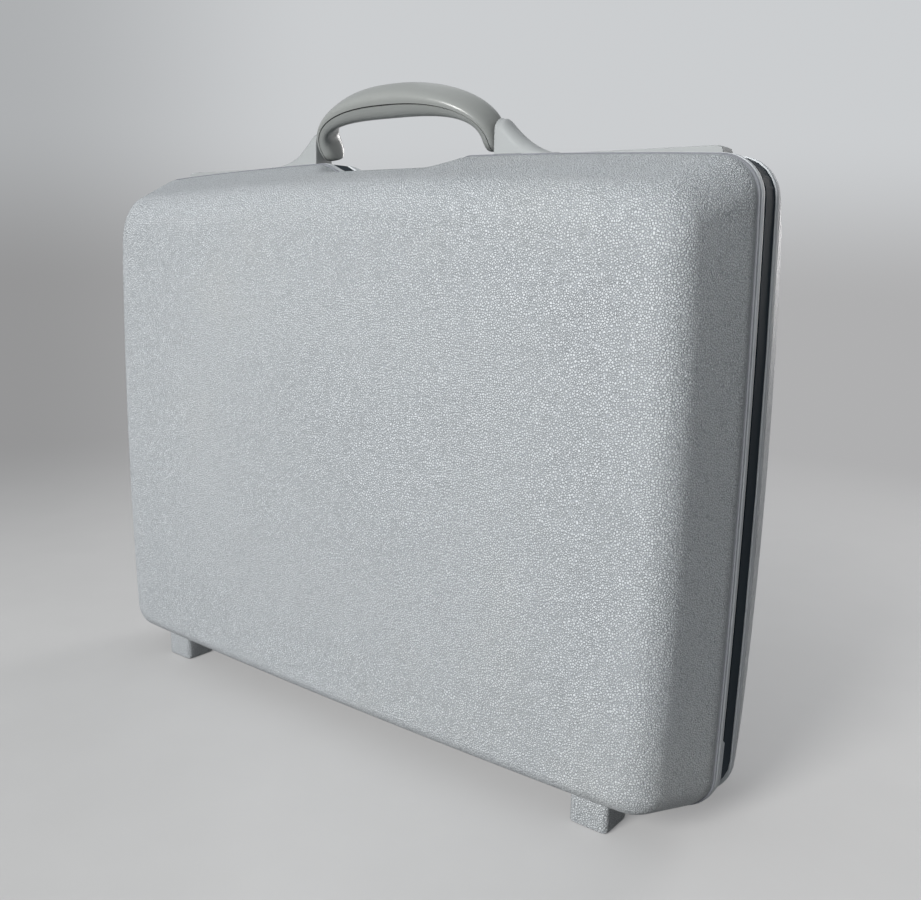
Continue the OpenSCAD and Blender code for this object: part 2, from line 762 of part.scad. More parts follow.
module stay_rivets_lid() color([0.75, 0.76, 0.78]) both_ends() stay_rivet(stay_link_x, stay_by, stay_z);

// Document pocket in the lid, open at the top, with a card pocket and pen loops on its board.
pocket_back = lid_edge_y - face_d + shell_wall + lining_gap + lining_wall;
board_y = pocket_back + pocket_room;
pocket_z = rim_lift + 62;

module document_pocket() color([0.30, 0.32, 0.35]) {
    box(-pocket_half, pocket_half, board_y, board_y + 2, pocket_z, pocket_z + pocket_height);
    box(-pocket_half, pocket_half, pocket_back, board_y + e, pocket_z, pocket_z + 1.5);
    both_ends()
        box(pocket_half - 1.5, pocket_half, pocket_back, board_y + e, pocket_z, pocket_z + pocket_height);
}

module card_pocket() color([0.27, 0.29, 0.32]) {
    x0 = pocket_margin - pocket_half;
    z0 = pocket_z + 40;
    difference() {
        box(x0, x0 + card_length, board_y + 2, board_y + 5, z0, z0 + card_height);
        box(x0 + 1.5, x0 + card_length - 1.5, board_y + 2.8, board_y + 4, z0 + 2, z0 + card_height + 1);
    }
}

module pen_loops() color([0.27, 0.29, 0.32]) {
    x0 = pocket_half - pocket_margin - band_length;
    z0 = pocket_z + pocket_height / 2;
    loop = band_length / 3;
    difference() {
        box(x0, x0 + band_length, board_y + 2, board_y + 5, z0, z0 + band_height);
        for (k = [0:2])
            box(x0 + loop * k + 2, x0 + loop * (k + 1) - 2, board_y + 2.7, board_y + 4.4,
                z0 - 1, z0 + band_height + 1);
    }
}

// Handle: stations from the left leg's end over the crown to the right leg's end, in a frame
// whose origin is the pivot. A station is [outer x, outer height, inner x, inner height, half width].
leg_out = ped_in - leg_gap;
leg_in = leg_out - leg_thickness;
crown_in = crown_out - grip_height;
leg_r = leg_width / 2;

function power_curve(c, n) = sign(c) * pow(abs(c), 2 / n);

function crown_station(f) = [
    leg_out * power_curve(cos(f), 2.125), crown_out * power_curve(sin(f), 2.125),
    leg_in * power_curve(cos(f), 3.1), crown_in * power_curve(sin(f), 3.1),
    leg_r + (grip_width / 2 - leg_r) * pow(sin(f), 0.8)
];

function leg_station(s, a) = let (drop = leg_r * sin(a))
    [s * leg_out, -drop, s * leg_in, -drop, leg_r * pow(cos(a), 0.7)];

stations = concat(
    [for (a = [86, 70, 52, 34, 16]) leg_station(-1, a)],
    [for (f = [180, 174, 166, 156, 144, 131, 118, 104, 90, 76, 62, 49, 36, 24, 14, 6, 0]) crown_station(f)],
    [for (a = [16, 34, 52, 70, 86]) leg_station(1, a)]
);

// Point across a station: v from 0 at the inner face to 1 at the outer face.
function across(s, v, y) = [s[2] + (s[0] - s[2]) * v, y, s[3] + (s[1] - s[3]) * v];

function upper_ring(s) = let (v0 = seam + seam_half) [for (i = [0:10]) let (a = 18 * i)
    across(s, v0 + (1 - v0) * pow(max(sin(a), 0), 0.75), s[4] * power_curve(cos(a), 3))];

function lower_ring(s) = let (v0 = seam - seam_half) [for (i = [0:10]) let (a = 180 + 18 * i)
    across(s, v0 - v0 * pow(max(-sin(a), 0), 0.75), s[4] * power_curve(cos(a), 3))];

function core_ring(s) = let (w = max(s[4] - 0.35, 0.2)) [
    across(s, seam - seam_half, -w), across(s, seam - seam_half, w),
    across(s, seam + seam_half, w), across(s, seam + seam_half, -w)
];

module loft(rings) {
    n = len(rings[0]);
    m = len(rings);
    polyhedron(
        points = cat(rings),
        faces = concat(
            [[for (i = [0:n - 1]) i]],
            [for (k = [0:m - 2]) for (i = [0:n - 1]) [k * n + i, (k + 1) * n + i, (k + 1) * n + (i + 1) % n]],
            [for (k = [0:m - 2]) for (i = [0:n - 1])
                [k * n + i, (k + 1) * n + (i + 1) % n, k * n + (i + 1) % n]],
            [[for (i = [n - 1:-1:0]) (m - 1) * n + i]]
        ),
        convexity = 8
    );
}

module leaning() {
    translate([0, pivot_y, pivot_z]) rotate([handle_lean, 0, 0]) difference() {
        children();
        both_ends() rod(leg_in + 0.8, leg_out + 1, 0, 0, handle_pin_r + run_fit);
    }
}

module handle_upper_cover() color([0.66, 0.66, 0.64]) leaning() loft([for (s = stations) upper_ring(s)]);

module handle_lower_cover() color([0.62, 0.62, 0.60]) leaning() loft([for (s = stations) lower_ring(s)]);

module handle_core() color([0.15, 0.15, 0.16]) leaning() loft([for (s = stations) core_ring(s)]);

base_shell();
base_rim();
base_frame();
seal_strip();
base_lining();
pedestal_left();
pedestal_right();
handle_pins();
latch_housing_left();
latch_housing_right();
latch_button_left();
latch_button_right();
latch_bolt_left();
latch_bolt_right();
hinge_leaves_base();
hinge_rivets_base();
stay_rivets_base();
lid_shell();
lid_rim();
lid_lining();
corner_strip_left();
corner_strip_right();
hinge_leaves_lid();
hinge_pins();
hinge_rivets_lid();
keeper_left();
keeper_right();
keeper_screws();
stay_rivets_lid();
document_pocket();
card_pocket();
pen_loops();
handle_upper_cover();
handle_lower_cover();
handle_core();
stay_arm_left();
stay_arm_right();
stay_link_left();
stay_link_right();
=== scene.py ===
"""Looks of the hard-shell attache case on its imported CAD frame. Everything is in metres.

X runs along the case, -Y points towards the lid and Z up. The base half is the lid's mirror image.
"""

import math

import bmesh
import bpy
from mathutils import Matrix, Vector

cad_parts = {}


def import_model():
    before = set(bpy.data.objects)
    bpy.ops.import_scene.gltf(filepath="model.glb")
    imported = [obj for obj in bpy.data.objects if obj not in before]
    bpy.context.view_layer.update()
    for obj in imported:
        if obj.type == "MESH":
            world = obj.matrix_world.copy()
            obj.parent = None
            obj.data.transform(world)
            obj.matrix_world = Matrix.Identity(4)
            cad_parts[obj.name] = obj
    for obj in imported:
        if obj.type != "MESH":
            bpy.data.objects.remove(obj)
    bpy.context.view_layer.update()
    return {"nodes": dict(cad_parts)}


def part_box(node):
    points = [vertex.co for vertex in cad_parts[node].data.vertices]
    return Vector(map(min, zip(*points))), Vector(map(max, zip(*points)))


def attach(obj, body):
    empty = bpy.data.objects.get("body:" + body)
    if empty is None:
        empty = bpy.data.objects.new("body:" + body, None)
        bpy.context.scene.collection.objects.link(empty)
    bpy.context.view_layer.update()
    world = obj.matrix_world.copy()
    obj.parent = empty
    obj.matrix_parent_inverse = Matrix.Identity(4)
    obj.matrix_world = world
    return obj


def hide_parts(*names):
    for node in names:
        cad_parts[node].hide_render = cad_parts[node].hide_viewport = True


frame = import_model()
nodes = frame["nodes"]
MM = 0.001
SIDES = ("left", -1), ("right", 1)

# Measures of the case: its driving sizes, then what the frame gives

SHELL_STEP, SHELL_WALL, EDGE_ROLL = 1.2 * MM, 3 * MM, 6 * MM
SHELL_DRAFT = math.radians(16.4)
EDGE_DEPTH, EDGE_WIDTH, DOME = 21.3 * MM, 17.7 * MM, 1.5 * MM
TOP_SLOPE, BOTTOM_SLOPE = 1.36, 0.76
SPREAD, CORNER_GAIN, CORNER_LOSS = 28 * MM, 2 * MM, 14 * MM
SIDE_BOW_GAIN, TOP_BOW_GAIN = 1.6, 0.3
RIM_CORNER, RIM_WIDTH, RIM_BAND, LIP_DEPTH = 21.5 * MM, 11 * MM, 6 * MM, 6 * MM
SHARPEST_CORNER, LIP_AIR = 3 * MM, 0.2 * MM
TOP_BOW, SIDE_BOW, BOTTOM_BOW = 6.9 * MM, 2.5 * MM, 3 * MM
SCOOP_FLOOR, SCOOP_MOUTH, SCOOP_DROP = 43 * MM, 57 * MM, 6.9 * MM
LINING_GAP, LINING_WALL = 0.45 * MM, 1 * MM
FACE_DROP = 4 * MM

rim_lo, rim_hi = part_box("lid_rim")
SHELL_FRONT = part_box("lid_shell")[0].y
HALF_X = rim_hi.x
RIM_LOW = rim_lo.z
TOP_Z = rim_hi.z + TOP_BOW * (SCOOP_MOUTH / HALF_X) ** 2
EDGE_Y = rim_hi.y - RIM_BAND
SHELL_DEPTH = EDGE_Y - SHELL_FRONT
FACE_Z = (RIM_LOW + TOP_Z) / 2 - FACE_DROP


def side_inset(depth):
    """Inset of a shell's side at a depth behind its rim."""
    run = depth ** 2 / (2 * EDGE_ROLL) if depth < EDGE_ROLL else depth - EDGE_ROLL / 2
    return SHELL_STEP + math.tan(SHELL_DRAFT) * run


ARC_D = SHELL_DEPTH - DOME - EDGE_DEPTH
ARC_START = math.atan(math.tan(SHELL_DRAFT) * EDGE_DEPTH / EDGE_WIDTH)
ARC_IN = side_inset(ARC_D + EDGE_DEPTH * math.sin(ARC_START)) + EDGE_WIDTH * math.cos(ARC_START)
LIP_IN = side_inset(LIP_DEPTH) + SHELL_WALL / math.cos(SHELL_DRAFT) + LIP_AIR


# Node helpers. A value is a plain number or colour, or the socket that gives it

NOISE_ROUGHNESS = 0.55


def feed(tree, socket, value):
    """Links the socket to the value's socket, or sets it to the plain value."""
    if hasattr(value, "links"):
        tree.links.new(value, socket)
    else:
        socket.default_value = value


def add_node(tree, kind, inputs):
    node = tree.nodes.new("ShaderNode" + kind)
    for key, value in inputs.items():
        feed(tree, node.inputs[key], value)
    return node


def grey(level):
    return level, level, level


def shade(colour, factor):
    return tuple(c * factor for c in colour)


def object_place(tree):
    return add_node(tree, "TexCoord", {}).outputs["Object"]


def noise(tree, scale, detail, vector=None):
    node = add_node(tree, "TexNoise", {"Scale": scale, "Detail": detail, "Roughness": NOISE_ROUGHNESS,
                                       "Vector": vector or object_place(tree)})
    return node.outputs


def ramp(tree, source, stops):
    """The colour that a row of (place, colour) stops gives for the source."""
    node = add_node(tree, "ValToRGB", {"Fac": source})
    elements = node.color_ramp.elements
    while len(elements) < len(stops):
        elements.new(0.5)
    for element, (place, colour) in zip(elements, stops):
        element.position = place
        element.color = (*colour, 1)
    return node.outputs["Color"]


def bump(tree, height, distance, under=None):
    inputs = {"Height": height, "Distance": distance}
    if under:
        inputs["Normal"] = under
    return add_node(tree, "Bump", inputs).outputs["Normal"]


def calculate(tree, operation, *values):
    node = tree.nodes.new("ShaderNodeMath")
    node.operation = operation
    for socket, value in zip(node.inputs, values):
        feed(tree, socket, value)
    return node.outputs[0]


def vector_math(tree, operation, *values):
    node = tree.nodes.new("ShaderNodeVectorMath")
    node.operation = operation
    for socket, value in zip(node.inputs, values):
        feed(tree, socket, value)
    return node.outputs["Value" if operation in ("DOT_PRODUCT", "LENGTH") else "Vector"]


def mix(tree, data_type, factor, a, b, blend_type="MIX"):
    node = tree.nodes.new("ShaderNodeMix")
    node.data_type, node.blend_type = data_type, blend_type
    for key, value in (("Factor", factor), ("A", a), ("B", b)):
        feed(tree, node.inputs[key], value)
    return node.outputs["Result"]


def multiplied(tree, a, b):
    return mix(tree, "RGBA", 1.0, a, b, "MULTIPLY")


def step_between(tree, source, span, result=(0.0, 1.0)):
    """Goes smoothly from one result to the other while the source crosses the span."""
    node = add_node(tree, "MapRange", {"Value": source, "From Min": span[0], "From Max": span[1],
                                       "To Min": result[0], "To Max": result[1]})
    node.interpolation_type = "SMOOTHSTEP"
    return node.outputs["Result"]


def behind_rim(tree):
    """How far a point lies behind the edge between its rim and its shell, on either half."""
    y = add_node(tree, "SeparateXYZ", {"Vector": object_place(tree)}).outputs["Y"]
    return calculate(tree, "ADD", calculate(tree, "ABSOLUTE", y), EDGE_Y)


# Materials

CLOUD_SCALE, CLOUD_DETAIL, FINE_DETAIL = 14, 4, 2
TINT_LOW, TINT_HIGH = 0.3, 0.7


def new_material(name, inputs):
    """A Principled material. The inputs are set on the shader's own sockets."""
    mat = bpy.data.materials.new(name)
    mat.use_nodes = True
    shader = mat.node_tree.nodes["Principled BSDF"]
    for key, value in inputs.items():
        shader.inputs[key].default_value = value
    return mat, mat.node_tree, shader


def plastic(name, colour, roughness, vary=0.05, grain=0.04 * MM, grain_scale=900, gloss=0.5):
    """Moulded plastic: faint cloudy colour, fine surface grain."""
    mat, tree, shader = new_material(name, {"Roughness": roughness, "Specular IOR Level": gloss})
    cloud = noise(tree, CLOUD_SCALE, CLOUD_DETAIL)["Fac"]
    tint = ramp(tree, cloud, [(TINT_LOW, shade(colour, 1 - vary)), (TINT_HIGH, shade(colour, 1 + vary))])
    feed(tree, shader.inputs["Base Color"], tint)
    fine = noise(tree, grain_scale, FINE_DETAIL)["Fac"]
    feed(tree, shader.inputs["Normal"], bump(tree, fine, grain))
    return mat


# Painted shade where a rim steps over its shell: the span of its fade behind the edge, and the colour it
# multiplies in
RIM_STEP_SHADE_SPAN, RIM_STEP_SHADE_TINT = (-0.7 * MM, -0.1 * MM), (0.3, 0.3, 0.32)


def paint_rim_step_shade(mat):
    """Painted shade: darkens the narrow face of a rim that stands over its shell, as the shade in the step
    between them.
    """
    tree = mat.node_tree
    colour = tree.nodes["Principled BSDF"].inputs["Base Color"]
    unshaded_colour = colour.links[0].from_socket
    step_shade = ramp(tree, step_between(tree, behind_rim(tree), RIM_STEP_SHADE_SPAN), [(0.0, grey(1.0)), (1.0, RIM_STEP_SHADE_TINT)])
    feed(tree, colour, multiplied(tree, unshaded_colour, step_shade))


PEBBLE, WARP, WARP_SCALE = 1.2 * MM, 0.3 * MM, 380
# Painted shade in the pebbles' creases: how far the dark reaches, and its colour
CREASE_SPAN, CREASE_SHADE_TINT = (0.0, 0.22), (0.55, 0.56, 0.58)
PEBBLE_FLANK, SMOOTH_TINT = 0.98, 0.94
GRAIN_SPAN = 0.5 * MM, 3 * MM
PEBBLE_HEIGHT, SKIN_HEIGHT, SKIN_SCALE = 0.5 * MM, 0.05 * MM, 2200
PATCH_SCALE, PATCH_DETAIL, PATCH_DARK, PATCH_WARM = 7, 3, 0.98, (1.02, 1.01, 0.99)
DARK_PLACE, PLAIN_PLACE, WARM_PLACE = 0.30, 0.55, 0.75


def pebbled(name, colour):
    """The shells' leather grain: small uneven pebbles between creases darkened with painted shade, smooth
    beside the rim.
    """
    mat, tree, shader = new_material(name, {"Roughness": 0.6, "Specular IOR Level": 0.22})
    wander = noise(tree, WARP_SCALE, FINE_DETAIL)["Color"]
    warped = mix(tree, "VECTOR", WARP, object_place(tree), wander)
    cell = tree.nodes.new("ShaderNodeTexVoronoi")
    cell.feature = "DISTANCE_TO_EDGE"
    feed(tree, cell.inputs["Scale"], 1 / PEBBLE)
    feed(tree, cell.inputs["Vector"], warped)
    pebble = step_between(tree, cell.outputs["Distance"], CREASE_SPAN)
    strength = step_between(tree, behind_rim(tree), GRAIN_SPAN)
    grain = bump(tree, calculate(tree, "MULTIPLY", pebble, strength), PEBBLE_HEIGHT)
    fine = noise(tree, SKIN_SCALE, FINE_DETAIL)["Fac"]
    feed(tree, shader.inputs["Normal"], bump(tree, fine, SKIN_HEIGHT, grain))
    warm = tuple(c * factor for c, factor in zip(colour, PATCH_WARM))
    patches = noise(tree, PATCH_SCALE, PATCH_DETAIL)["Fac"]
    dark = shade(colour, PATCH_DARK)
    tint = ramp(tree, patches, [(DARK_PLACE, dark), (PLAIN_PLACE, colour), (WARM_PLACE, warm)])
    # Painted shade: the creases between pebbles are darkened in the colour, and the smooth band beside the
    # rim keeps its own tone
    painted_crease_shade = ramp(tree, pebble, [(0.0, CREASE_SHADE_TINT), (0.5, grey(PEBBLE_FLANK)), (1.0, grey(1.0))])
    crease_shade_and_smooth_band = mix(tree, "RGBA", strength, (*grey(SMOOTH_TINT), 1), painted_crease_shade)
    feed(tree, shader.inputs["Base Color"], multiplied(tree, tint, crease_shade_and_smooth_band))
    return mat


WAVE_LENGTH = 0.314  # length of one wave of the wave texture at scale 1
YARN_WANDER, YARN_DARK, YARN_LIGHT, YARN_HEIGHT = 0.6, 0.6, 1.25, 0.4


def woven(name, colour, pitch):
    """Lining cloth: two crossed sets of yarns."""
    finish = {"Roughness": 0.9, "Sheen Weight": 0.25, "Specular IOR Level": 0.2}
    mat, tree, shader = new_material(name, finish)
    place = object_place(tree)
    waves = []
    for axis in ("X", "Z"):
        wave = add_node(tree, "TexWave", {"Scale": WAVE_LENGTH / pitch, "Distortion": YARN_WANDER,
                                          "Vector": place})
        wave.wave_type, wave.bands_direction = "BANDS", axis
        waves.append(wave.outputs["Fac"])
    weave = calculate(tree, "MULTIPLY", *waves)
    yarn = ramp(tree, weave, [(0.0, shade(colour, YARN_DARK)), (1.0, shade(colour, YARN_LIGHT))])
    feed(tree, shader.inputs["Base Color"], yarn)
    feed(tree, shader.inputs["Normal"], bump(tree, weave, pitch * YARN_HEIGHT))
    return mat


BRUSHED, POLISHED = ((0.03, 1, 1), 2500), ((1, 1, 1), 300)  # stretch and scale of the streaks
STREAK_DARK, STREAK_VARY = 0.85, 0.2


def metal(name, colour, roughness, finish):
    """Steel, brushed along X or polished with faint wear."""
    stretch, scale = finish
    mat, tree, shader = new_material(name, {"Metallic": 1.0})
    mapping = add_node(tree, "Mapping", {"Scale": stretch, "Vector": object_place(tree)})
    streak = noise(tree, scale, FINE_DETAIL, mapping.outputs["Vector"])["Fac"]
    feed(tree, shader.inputs["Base Color"],
         ramp(tree, streak, [(TINT_LOW, shade(colour, STREAK_DARK)), (TINT_HIGH, colour)]))
    feed(tree, shader.inputs["Roughness"],
         ramp(tree, streak, [(TINT_LOW, grey(roughness * (1 - STREAK_VARY))),
                             (TINT_HIGH, grey(roughness * (1 + STREAK_VARY)))]))
    return mat


SHELL_GREY = (0.525, 0.553, 0.577)
RIM_GREY = (0.54, 0.565, 0.59)
PEDESTAL_GREY = (0.30, 0.315, 0.32)
HANDLE_GREY = (0.235, 0.246, 0.24)
BUTTON_GREY = (0.25, 0.27, 0.285)
FRAME_BLACK = (0.010, 0.019, 0.027)
SEAL_BLACK = (0.012, 0.013, 0.014)
CORE_BLACK = (0.010, 0.010, 0.011)
LINING_SLATE = (0.060, 0.072, 0.085)
POCKET_SLATE = (0.085, 0.098, 0.112)
BINDING_DARK = (0.035, 0.038, 0.042)
THREAD_GREY = (0.16, 0.17, 0.18)
STEEL = (0.60, 0.61, 0.62)
BRIGHT_STEEL = (0.72, 0.72, 0.73)

shell_mat = pebbled("shell_pebbled", SHELL_GREY)
rim_mat = plastic("rim_satin", PEDESTAL_GREY, roughness=0.5, gloss=0.3)
edge_mat = plastic("rim_satin_edged", RIM_GREY, roughness=0.6, gloss=0.2)
# The rims get painted shade on the narrow face that steps over the shell
paint_rim_step_shade(edge_mat)
frame_mat = plastic("frame_satin", FRAME_BLACK, roughness=0.6, vary=0.12, gloss=0.04)
seal_mat = plastic("seal_rubber", SEAL_BLACK, roughness=0.7, vary=0.15)
handle_mat = plastic("handle_satin", HANDLE_GREY, roughness=0.30, vary=0.04, grain=0.03 * MM,
                     grain_scale=1200)
core_mat = plastic("core_rubber", CORE_BLACK, roughness=0.75, vary=0.1)
button_mat = plastic("button_satin", BUTTON_GREY, roughness=0.4)
lining_mat = woven("lining_cloth", LINING_SLATE, pitch=0.7 * MM)
pocket_mat = woven("pocket_cloth", POCKET_SLATE, pitch=0.9 * MM)
trim_mat = plastic("pocket_binding", BINDING_DARK, roughness=0.6, vary=0.15)
thread_mat = plastic("pocket_thread", THREAD_GREY, roughness=0.8, vary=0.1)
steel_mat = metal("stay_steel", STEEL, roughness=0.32, finish=BRUSHED)
rivet_mat = metal("rivet_polished", BRIGHT_STEEL, roughness=0.18, finish=POLISHED)


# Outlines: points (x, z) round the case, from the bottom's middle towards +X

BOTTOM_STEPS, SIDE_STEPS, CORNER_STEPS, TOP_STEPS, SCOOP_STEPS, FLOOR_STEPS = 16, 16, 14, 12, 20, 5
SCOOP_SPAN, SCOOP_REACH, CROWN_REACH = 6 * MM, 2.5 * MM, 2.0 * MM
SCOOP_END, SCOOP_CLIMB = 1.2, 50 * MM


def smooth_min(a, b, reach):
    """The smaller of two values, rounded off where they differ by less than reach."""
    h = max(reach - abs(a - b), 0) / reach
    return min(a, b) - h * h * reach / 4


def spaced(start, end, steps):
    """Evenly spaced numbers from start to end, both included."""
    return [start + (end - start) * i / steps for i in range(steps + 1)]


class Outline:
    """Crowned rectangle with round corners and the scoop under the handle."""

    def __init__(self, half, low, high, corners, side_bow, top_bow, bottom_bow, drop):
        self.half, self.low, self.high, self.corners = half, low, high, corners
        self.side_bow, self.top_bow, self.bottom_bow, self.drop = side_bow, top_bow, bottom_bow, drop

    def high_z(self, x):
        across = (abs(x) - SCOOP_FLOOR) / (SCOOP_MOUTH - SCOOP_FLOOR)
        slope = TOP_Z - SCOOP_DROP + SCOOP_DROP * across
        scoop = -smooth_min(-(TOP_Z - SCOOP_DROP), -slope, SCOOP_REACH) - self.drop
        crown = self.high - self.top_bow * (x / self.half) ** 2
        return smooth_min(crown, scoop + max(across - SCOOP_END, 0) * SCOOP_CLIMB, CROWN_REACH)

    def low_z(self, x):
        return self.low + self.bottom_bow * (x / self.half) ** 2

    def side_x(self, z):
        return self.half - self.side_bow * ((2 * z - self.low - self.high) / (self.high - self.low)) ** 2

    def corner(self, radius, bow, edge, up):
        """Middle of a round corner, and the angles at which its sides leave it."""
        tall = (self.high - self.low) / 2
        side = math.atan(2 * self.side_bow * (tall - radius) / tall ** 2)
        flat = math.atan(2 * bow * (self.half - radius) / self.half ** 2)
        x = self.half - self.side_bow * ((tall - radius) / tall) ** 2 - radius * math.cos(side)
        z = edge - up * (bow * ((self.half - radius) / self.half) ** 2 + radius * math.cos(flat))
        return x, z, side, flat

    def half_points(self):
        top_radius, low_radius = self.corners
        cx, cz, side, flat = self.corner(low_radius, self.bottom_bow, self.low, -1)
        start = cx + low_radius * math.sin(flat)
        points = [(x, self.low_z(x)) for x in spaced(0, start, BOTTOM_STEPS)[:-1]]
        points += [(cx + low_radius * math.cos(a), cz + low_radius * math.sin(a))
                   for a in spaced(flat - math.pi / 2, -side, CORNER_STEPS)]
        low = points[-1][1]
        cx, cz, side, flat = self.corner(top_radius, self.top_bow, self.high, 1)
        high = cz + top_radius * math.sin(side)
        points += [(self.side_x(z), z) for z in spaced(low, high, SIDE_STEPS)[1:-1]]
        points += [(cx + top_radius * math.cos(a), cz + top_radius * math.sin(a))
                   for a in spaced(side, math.pi / 2 - flat, CORNER_STEPS)]
        mouth, inner = SCOOP_MOUTH + SCOOP_SPAN, SCOOP_FLOOR - SCOOP_SPAN
        top = spaced(points[-1][0], mouth, TOP_STEPS)[1:-1] + spaced(mouth, inner, SCOOP_STEPS)
        points += [(x, self.high_z(x)) for x in top + spaced(inner, 0, FLOOR_STEPS)[1:]]
        return points

    def points(self):
        half = self.half_points()
        return half + [(-x, z) for x, z in reversed(half[1:-1])]


def rim_outline(inset):
    radius = max(RIM_CORNER - inset, SHARPEST_CORNER)
    return Outline(HALF_X - inset, RIM_LOW + inset, TOP_Z - inset, (radius, radius),
                   SIDE_BOW, TOP_BOW, BOTTOM_BOW, 0)


def shell_outline(inset, drop):
    """A shell's outline changes its corners, slopes and bows with its inset."""
    past_step = inset - SHELL_STEP
    share = past_step / SPREAD
    corners = RIM_CORNER + CORNER_GAIN * min(share, 1), RIM_CORNER - CORNER_LOSS * min(share, 1)
    return Outline(HALF_X - inset, RIM_LOW + SHELL_STEP + past_step * BOTTOM_SLOPE,
                   TOP_Z - SHELL_STEP - past_step * TOP_SLOPE, corners,
                   SIDE_BOW * (1 + SIDE_BOW_GAIN * share), TOP_BOW * (1 + TOP_BOW_GAIN * share),
                   BOTTOM_BOW, drop)


# Mesh helpers

SMOOTH_ANGLE, ALL_SMOOTH = 40, 180
WELD_REACH, BEVEL_ANGLE, BEVEL_SEGMENTS = 0.01 * MM, math.radians(35), 2


def link_object(name, data):
    obj = bpy.data.objects.new(name, data)
    bpy.context.scene.collection.objects.link(obj)
    return obj


def smooth(obj, angle):
    mesh = obj.data
    mesh.polygons.foreach_set("use_smooth", [True] * len(mesh.polygons))
    if angle < ALL_SMOOTH:
        mesh.set_sharp_from_angle(angle=math.radians(angle))


def mesh_object(name, verts, faces, mat, body, replaced=(), side=1, smooth_angle=SMOOTH_ANGLE):
    """A new piece riding on a body. side -1 mirrors it to the base half."""
    mesh = bpy.data.meshes.new(name)
    mesh.from_pydata([(v[0], v[1] * side, v[2]) for v in verts], [], faces)
    mesh.validate()
    bm = bmesh.new()
    bm.from_mesh(mesh)
    bmesh.ops.recalc_face_normals(bm, faces=bm.faces)
    bm.to_mesh(mesh)
    bm.free()
    mesh.materials.append(mat)
    obj = link_object(name, mesh)
    smooth(obj, smooth_angle)
    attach(obj, body)
    if replaced:
        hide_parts(*replaced)
    return obj


def ring(outline, y):
    return [Vector((x, y, z)) for x, z in outline.points()]


def bridge(verts, faces, rings, closed=False):
    """Skins rings of equal length, adds them to verts and faces and returns the first one's place."""
    base, n = len(verts), len(rings[0])
    for points in rings:
        verts.extend(points)
    pairs = [(k, k + 1) for k in range(len(rings) - 1)]
    if closed:
        pairs.append((len(rings) - 1, 0))
    for a, b in pairs:
        for i in range(n):
            j = (i + 1) % n
            faces.append((base + a * n + i, base + a * n + j, base + b * n + j, base + b * n + i))
    return base


def tube(rings, closed=False):
    """A skin over rings. It closes on itself, or gets a flat face at each end."""
    verts, faces = [], []
    bridge(verts, faces, rings, closed)
    if not closed:
        n = len(rings[0])
        faces.append(tuple(range(n)))
        faces.append(tuple(len(verts) - 1 - i for i in range(n)))
    return verts, faces


def cap(verts, faces, base, n, centre, flip=False):
    """A fan from a ring to a middle point."""
    verts.append(centre)
    last = len(verts) - 1
    for i in range(n):
        j = (i + 1) % n
        faces.append((last, base + i, base + j) if flip else (last, base + j, base + i))


def dress(name, mat, bevel_width=0.0):
    """A CAD node that keeps its shape gets its material, and its edges are eased."""
    obj = nodes[name]
    for slot in obj.material_slots:
        slot.material = mat
    if not obj.material_slots:
        obj.data.materials.append(mat)
    if bevel_width:
        weld = obj.modifiers.new("weld", "WELD")
        weld.merge_threshold = WELD_REACH
        bevel = obj.modifiers.new("bevel", "BEVEL")
        bevel.width, bevel.segments = bevel_width, BEVEL_SEGMENTS
        bevel.limit_method, bevel.angle_limit = "ANGLE", BEVEL_ANGLE


# Shells

ARC_ROWS, DRAFT_ROWS, DRAFT_CROWDING = 16, 16, 1.6
FACE_SHARES, DOME_POWER = (0.93, 0.84, 0.72, 0.58, 0.42, 0.26, 0.1), 1.3


def section(offset, first):
    """Points (inset, depth) down a shell's side and round into its face."""
    start = ARC_D + (EDGE_DEPTH - offset) * math.sin(ARC_START)
    points = []
    for i in range(DRAFT_ROWS):
        depth = first + (start - first) * (i / DRAFT_ROWS) ** DRAFT_CROWDING
        points.append((side_inset(depth) + offset / math.cos(SHELL_DRAFT), depth))
    for a in spaced(ARC_START, math.pi / 2, ARC_ROWS):
        inset = ARC_IN - (EDGE_WIDTH - offset) * math.cos(a)
        points.append((inset, ARC_D + (EDGE_DEPTH - offset) * math.sin(a)))
    return points


def face_rings(last_ring, y, dome):
    """Rings that close a face with a shallow dome, and the dome's middle."""
    centre = Vector((0, y, FACE_Z))
    rings = []
    for share in FACE_SHARES:
        lift = Vector((0, dome * (1 - share * share) ** DOME_POWER, 0))
        rings.append([centre + (Vector((p.x, y, p.z)) - centre) * share - lift for p in last_ring])
    return rings, centre - Vector((0, dome, 0))


def skin(verts, faces, offset, first, dome, drop):
    """One side of a shell's or a lining's wall. Returns its first ring's place and length."""
    rings = [ring(shell_outline(inset, drop), EDGE_Y - depth) for inset, depth in section(offset, first)]
    tail, middle = face_rings(rings[-1], EDGE_Y - ARC_D - EDGE_DEPTH + offset, dome)
    rings += tail
    base = bridge(verts, faces, rings)
    n = len(rings[0])
    cap(verts, faces, base + (len(rings) - 1) * n, n, middle)
    return base, n


def wall(offset, thickness, first, dome):
    """Two skins a thickness apart, joined at their open edge."""
    verts, faces = [], []
    outer, n = skin(verts, faces, offset, first, dome, SHELL_STEP + offset)
    inner, n = skin(verts, faces, offset + thickness, first, dome, SHELL_STEP + offset + thickness)
    for i in range(n):
        j = (i + 1) % n
        faces.append((outer + i, inner + i, inner + j, outer + j))
    return verts, faces


FOOT_X, FOOT_LENGTH, FOOT_DEPTH = 174.5 * MM, 23 * MM, 23 * MM
FOOT_SETBACK, FOOT_CORNER = 15 * MM, 3 * MM
SOLE_EASE, SOLE_MID_UP, SOLE_MID_IN = 1.4 * MM, 0.42 * MM, 0.56 * MM
FOOT_FILLET, FOOT_ROOT = 2.2 * MM, 1.5 * MM
FOOT_CORNER_STEPS, FILLET_STEPS = 8, 6


